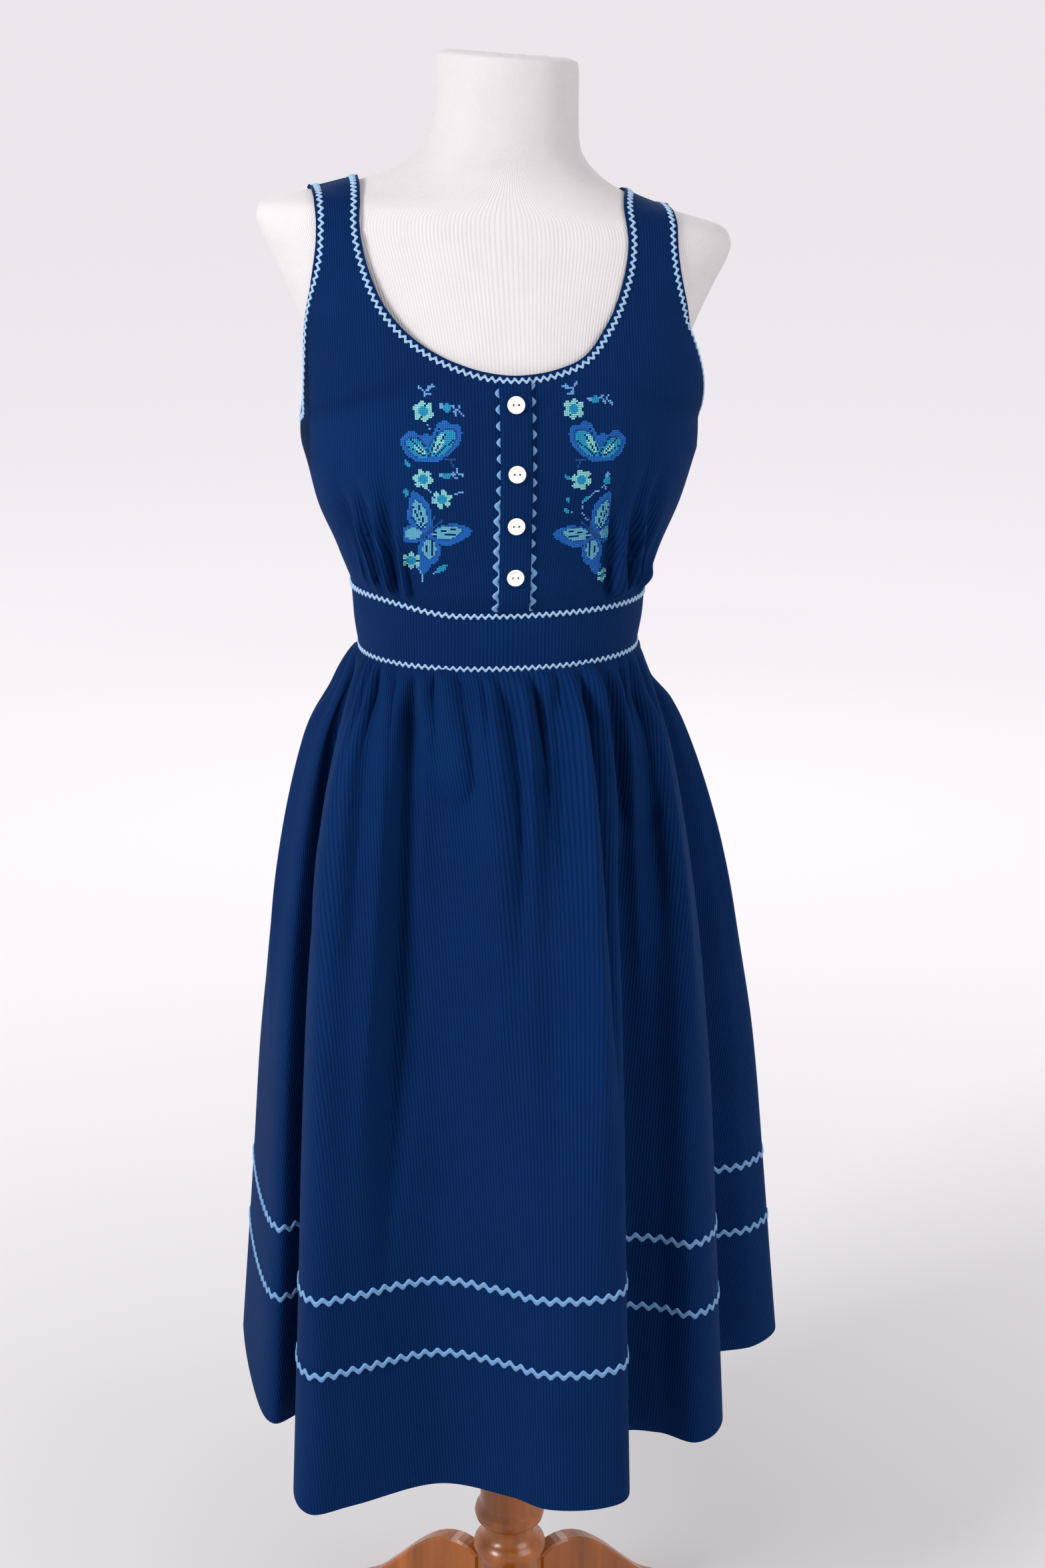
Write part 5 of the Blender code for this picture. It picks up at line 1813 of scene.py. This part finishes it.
def turned(name, profile, sides):
    """A turned solid, pulled up ring by ring from a disc."""
    bpy.ops.object.select_all(action="DESELECT")
    radius, height = profile[0]
    bpy.ops.mesh.primitive_circle_add(
        vertices=sides, radius=radius, fill_type="NGON", location=(0.0, 0.0, height)
    )
    piece = bpy.context.object
    piece.name = name
    piece.data.name = name
    bpy.ops.object.transform_apply(location=True, rotation=False, scale=False)
    bpy.ops.object.mode_set(mode="EDIT")
    bpy.ops.mesh.select_all(action="SELECT")
    for (radius, height), (next_radius, next_height) in zip(profile, profile[1:]):
        rise = next_height - height
        bpy.ops.mesh.extrude_region_move(TRANSFORM_OT_translate={"value": (0.0, 0.0, rise)})
        share = next_radius / radius
        bpy.ops.transform.resize(value=(share, share, 1.0), center_override=(0.0, 0.0, next_height))
    bpy.ops.mesh.select_all(action="SELECT")
    bpy.ops.mesh.normals_make_consistent(inside=False)
    bpy.ops.object.mode_set(mode="OBJECT")
    return piece


def drilled(button):
    """The button with its two holes cut through."""
    for side in (-0.5, 0.5):
        bpy.ops.object.select_all(action="DESELECT")
        bpy.ops.mesh.primitive_cylinder_add(
            vertices=DRILL_SIDES,
            radius=BUTTON_HOLE_RADIUS,
            depth=DRILL_LENGTH,
            location=(side * BUTTON_HOLE_SPACING, 0.0, 0.0),
        )
        drill = bpy.context.object
        cut = button.modifiers.new("Hole", "BOOLEAN")
        cut.operation = "DIFFERENCE"
        cut.solver = "EXACT"
        cut.object = drill
        apply_modifiers(button)
        bpy.data.objects.remove(drill)


def tube(name, path, radius, sides=8):
    """A closed round thread along a path."""
    points, faces = [], []
    for i, point in enumerate(path):
        run = (path[min(i + 1, len(path) - 1)] - path[max(i - 1, 0)]).normalized()
        side = run.cross(Vector((0.0, 1.0, 0.0))).normalized()
        up = side.cross(run)
        for s in range(sides):
            turn = 2 * math.pi * s / sides
            points.append(point + (side * math.cos(turn) + up * math.sin(turn)) * radius)
    for i in range(len(path) - 1):
        for s in range(sides):
            a, n = sides * i, (s + 1) % sides
            faces.append((a + s, a + n, a + sides + n, a + sides + s))
    faces.append(tuple(range(sides)))
    faces.append(tuple(range(len(points) - sides, len(points))))
    mesh = bpy.data.meshes.new(name)
    mesh.from_pydata(points, [], faces)
    return worked(mesh, outwards)


def section_at_height(z):
    """The section of the front whose middle stands at that height."""
    low, high = 0.0, float(UNDERARM_ROW)
    for _ in range(HEIGHT_HALVINGS):
        middle = (low + high) / 2
        if front_middle(middle, 0.0).z < z:
            low = middle
        else:
            high = middle
    return low


def make_buttons():
    """Four two-hole buttons, each sewn on with a thread."""
    profile = [(share * BUTTON_RADIUS, height) for share, height in BUTTON_PROFILE]
    model = turned("button_model", profile, BUTTON_SIDES)
    drilled(model)
    model.data.materials.append(button_casein())
    model.data.shade_smooth()
    model.data.set_sharp_from_angle(angle=TURNED_EDGE)
    half = BUTTON_HOLE_SPACING / 2
    arch = [
        Vector((half * share, 0.0, BUTTON_THREAD_Z + BUTTON_THREAD_RISE * rise))
        for share, rise in BUTTON_THREAD_ARCH
    ]
    side = Vector((1.0, 0.0, 0.0))
    for index, z in enumerate(BUTTON_HEIGHTS, 1):
        at = section_at_height(z)
        out = outwards_at(at)
        middle = front_middle(at, 0.0) + out * BUTTON_LIFT + FORM_AXIS
        facing = Matrix((side, out.cross(side), out)).transposed().to_4x4()
        place = Matrix.Translation(middle) @ facing
        disc = model.copy()
        disc.data = model.data.copy()
        disc.name = f"pressed_button_{index}"
        disc.data.transform(place)
        bpy.context.scene.collection.objects.link(disc)
        settled(disc, [f"button_{index}"])
        stitch = tube(f"button_thread_{index}", arch, BUTTON_THREAD_RADIUS)
        stitch.transform(place)
        new_piece(f"button_thread_{index}", stitch, thread("button"))
    bpy.data.objects.remove(model)


# Embroidery


def within(shape, x, y):
    """Whether a place is inside a shape of a motif."""
    kind, from_x, from_y, to_x, to_y, width, _ = shape
    line_x, line_y = to_x - from_x, to_y - from_y
    long = math.hypot(line_x, line_y)
    t = ((x - from_x) * line_x + (y - from_y) * line_y) / (long * long)
    off = abs((x - from_x) * line_y - (y - from_y) * line_x) / long
    if not 0.0 <= t <= 1.0:
        return False
    bow = 1 - (2 * t - 1) ** 2
    half = width / 2 * {"oval": math.sqrt(bow), "leaf": bow**0.8, "line": 1.0}[kind]
    return off <= half


def stitched_cells(side):
    """Every stitch of one side: its motif's middle, its place from there, and its thread."""
    cells = {}
    step = STITCH * 1000
    for where, motif, x, z, turn, size, mirrored in EMBROIDERY:
        if where != side:
            continue
        turned_by = math.radians(turn)
        reach = BUTTERFLY_REACH if "butterfly" in motif else FLOWER_REACH
        for i in range(-reach, reach + 1):
            for j in range(-reach, reach + 1):
                across, up = i * step, j * step
                local_x = (across * math.cos(turned_by) + up * math.sin(turned_by)) / size
                local_y = (up * math.cos(turned_by) - across * math.sin(turned_by)) / size
                found = None
                for shape in MOTIFS[motif]:
                    if within(shape, local_x * mirrored, local_y):
                        found = shape[-1]
                if found and found != "bare":
                    cells[round(x / STITCH) + i, round(z / STITCH) + j] = found
    return cells


def cross_stitch(place, across, up, out):
    """The points and faces of one stitch: two raised strands, one over the other."""
    points, faces = [], []
    half = STITCH * STRAND_REACH
    for turn, lift in ((1, 0.0), (-1, 0.5)):
        run = (across + up * turn) * half
        wide = (across - up * turn).normalized() * STRAND_HALF_WIDTH
        for t, rise in ((-1.0, 0.1), (0.0, 1.0 + lift), (1.0, 0.1)):
            spot = place + run * t
            points.append(spot - wide + out * (rise * STRAND_EDGE * STITCH_HEIGHT))
            points.append(spot + out * (rise * STITCH_HEIGHT))
            points.append(spot + wide + out * (rise * STRAND_EDGE * STITCH_HEIGHT))
        base = len(points) - 9
        for r in range(2):
            for c in range(2):
                a = base + 3 * r + c
                faces.append((a, a + 1, a + 4, a + 3))
    return points, faces


def make_embroidery():
    """Cross-stitch butterflies and flowers at both sides of the placket."""
    tree = bodice_tree()
    towards = Vector((0.0, 1.0, 0.0))
    for side, (end_x, end_z) in EMBROIDERED_TO.items():
        points, faces, threads = [], [], []
        for (column, row), name in sorted(stitched_cells(side).items()):
            x, z = column * STITCH, row * STITCH
            if abs(x) > end_x and z < end_z:
                continue
            place, out, _, _ = tree.ray_cast(Vector((x, STITCHED_FROM_Y, z)), towards)
            if place is None:
                continue
            across = Vector((0.0, 0.0, 1.0)).cross(out).normalized()
            up = out.cross(across)
            more, joined = cross_stitch(place + out * STITCH_LIFT, across, up, out)
            faces += [tuple(i + len(points) for i in face) for face in joined]
            points += [p + FORM_AXIS for p in more]
            threads += [list(THREADS).index(name)] * len(joined)
        name = f"embroidery_{side}"
        mesh = bpy.data.meshes.new(name)
        mesh.from_pydata(points, [], faces)
        new_piece(name, mesh, thread("blue"))
        for other in list(THREADS)[1:-1]:
            mesh.materials.append(thread(other))
        mesh.polygons.foreach_set("material_index", threads)


# Stand


def make_stand():
    """The turned column, and the varnish on the legs."""
    column = turned("turned_column", COLUMN_PROFILE, COLUMN_SIDES)
    column.data.materials.append(varnished_wood())
    column.data.shade_smooth()
    column.data.set_sharp_from_angle(angle=TURNED_EDGE)
    column.data.transform(Matrix.Translation(STAND_AXIS))
    settled(column, ["stand_column"])
    for index in (1, 2, 3):
        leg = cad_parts[f"leg_{index}"]
        leg.material_slots[0].material = varnished_wood()


# Stage


def area_light(name, place, aim, size, watts):
    """A soft square light turned towards a point."""
    data = bpy.data.lights.new(name, "AREA")
    data.energy = watts
    data.size = size
    lamp = bpy.data.objects.new(name, data)
    lamp.location = place
    lamp.rotation_euler = (Vector(aim) - Vector(place)).to_track_quat("-Z", "Y").to_euler()
    bpy.context.scene.collection.objects.link(lamp)


def make_stage():
    """Pale floor with a painted glow and painted shade near the stand, soft light from the camera's
    upper left, and the camera.
    """
    bpy.ops.object.select_all(action="DESELECT")
    bpy.ops.mesh.primitive_plane_add(size=FLOOR_SIZE, location=(0.0, 0.0, 0.0))
    floor = bpy.context.object
    floor.name = "floor"
    floor.data.materials.append(floor_with_painted_glow_and_shade())
    for light in LIGHTS:
        area_light(*light)
    world = bpy.data.worlds.new("studio air")
    world.use_nodes = True
    air = world.node_tree.nodes["Background"]
    air.inputs["Color"].default_value = AIR_COLOUR
    air.inputs["Strength"].default_value = AIR_STRENGTH
    bpy.context.scene.world = world
    bpy.context.scene.view_settings.view_transform = "Standard"
    data = bpy.data.cameras.new("camera")
    data.lens = CAMERA_LENS
    data.sensor_width = CAMERA_SENSOR
    camera = bpy.data.objects.new("camera", data)
    camera.location = CAMERA_PLACE
    camera.rotation_euler = (math.pi / 2 - CAMERA_PITCH, 0.0, CAMERA_HEADING)
    bpy.context.scene.collection.objects.link(camera)
    bpy.context.scene.camera = camera


# Add-on


class PINAFORE_OT_form(bpy.types.Operator):
    """Covers the form in ribbed jersey"""

    bl_idname = "pinafore.form"
    bl_label = "Dress Form"

    def execute(self, context):
        make_form()
        return {"FINISHED"}


class PINAFORE_OT_stand(bpy.types.Operator):
    """Turns the column and varnishes the legs"""

    bl_idname = "pinafore.stand"
    bl_label = "Stand"

    def execute(self, context):
        make_stand()
        return {"FINISHED"}


class PINAFORE_OT_skirt(bpy.types.Operator):
    """Gathers the three panels of the skirt"""

    bl_idname = "pinafore.skirt"
    bl_label = "Skirt"

    def execute(self, context):
        make_skirt()
        return {"FINISHED"}


class PINAFORE_OT_waistband(bpy.types.Operator):
    """Lays the band round the waist"""

    bl_idname = "pinafore.waistband"
    bl_label = "Waistband"

    def execute(self, context):
        make_waistband()
        return {"FINISHED"}


class PINAFORE_OT_bodice(bpy.types.Operator):
    """Sews the front of the bodice and its two backs"""

    bl_idname = "pinafore.bodice"
    bl_label = "Bodice"

    def execute(self, context):
        make_bodice()
        return {"FINISHED"}


class PINAFORE_OT_placket(bpy.types.Operator):
    """Lays the false band down the front"""

    bl_idname = "pinafore.placket"
    bl_label = "Placket"

    def execute(self, context):
        make_placket()
        return {"FINISHED"}


class PINAFORE_OT_ricrac(bpy.types.Operator):
    """Sews on all the ricrac"""

    bl_idname = "pinafore.ricrac"
    bl_label = "Ricrac"

    def execute(self, context):
        make_ricrac()
        return {"FINISHED"}


class PINAFORE_OT_buttons(bpy.types.Operator):
    """Sews on the four buttons"""

    bl_idname = "pinafore.buttons"
    bl_label = "Buttons"

    def execute(self, context):
        make_buttons()
        return {"FINISHED"}


class PINAFORE_OT_embroidery(bpy.types.Operator):
    """Works the cross-stitch at both sides of the placket"""

    bl_idname = "pinafore.embroidery"
    bl_label = "Embroidery"

    def execute(self, context):
        make_embroidery()
        return {"FINISHED"}


class PINAFORE_OT_stage(bpy.types.Operator):
    """Sets the floor, the lights and the camera"""

    bl_idname = "pinafore.stage"
    bl_label = "Stage"

    def execute(self, context):
        make_stage()
        return {"FINISHED"}


PIECES = (
    PINAFORE_OT_form,
    PINAFORE_OT_stand,
    PINAFORE_OT_skirt,
    PINAFORE_OT_waistband,
    PINAFORE_OT_bodice,
    PINAFORE_OT_placket,
    PINAFORE_OT_ricrac,
    PINAFORE_OT_buttons,
    PINAFORE_OT_embroidery,
    PINAFORE_OT_stage,
)


class PINAFORE_PT_pieces(bpy.types.Panel):
    """Lists the pieces of the dress, their sizes and colours"""

    bl_idname = "PINAFORE_PT_pieces"
    bl_label = "Pinafore Dress"
    bl_space_type = "VIEW_3D"
    bl_region_type = "UI"
    bl_category = "Pinafore"

    def draw(self, context):
        for piece in PIECES:
            self.layout.operator(piece.bl_idname)
        for group in (context.scene.pinafore_sizes, context.scene.pinafore_colours):
            for name in group.__annotations__:
                self.layout.prop(group, name)


CLASSES = (DressSizes, DressColours, *PIECES, PINAFORE_PT_pieces)


def register():
    for made in CLASSES:
        bpy.utils.register_class(made)
    bpy.types.Scene.pinafore_sizes = PointerProperty(type=DressSizes)
    bpy.types.Scene.pinafore_colours = PointerProperty(type=DressColours)


def unregister():
    del bpy.types.Scene.pinafore_colours
    del bpy.types.Scene.pinafore_sizes
    for made in reversed(CLASSES):
        bpy.utils.unregister_class(made)


def main():
    register()
    for piece in PIECES:
        group, name = piece.bl_idname.split(".")
        getattr(getattr(bpy.ops, group), name)()


if __name__ == "__main__":
    main()
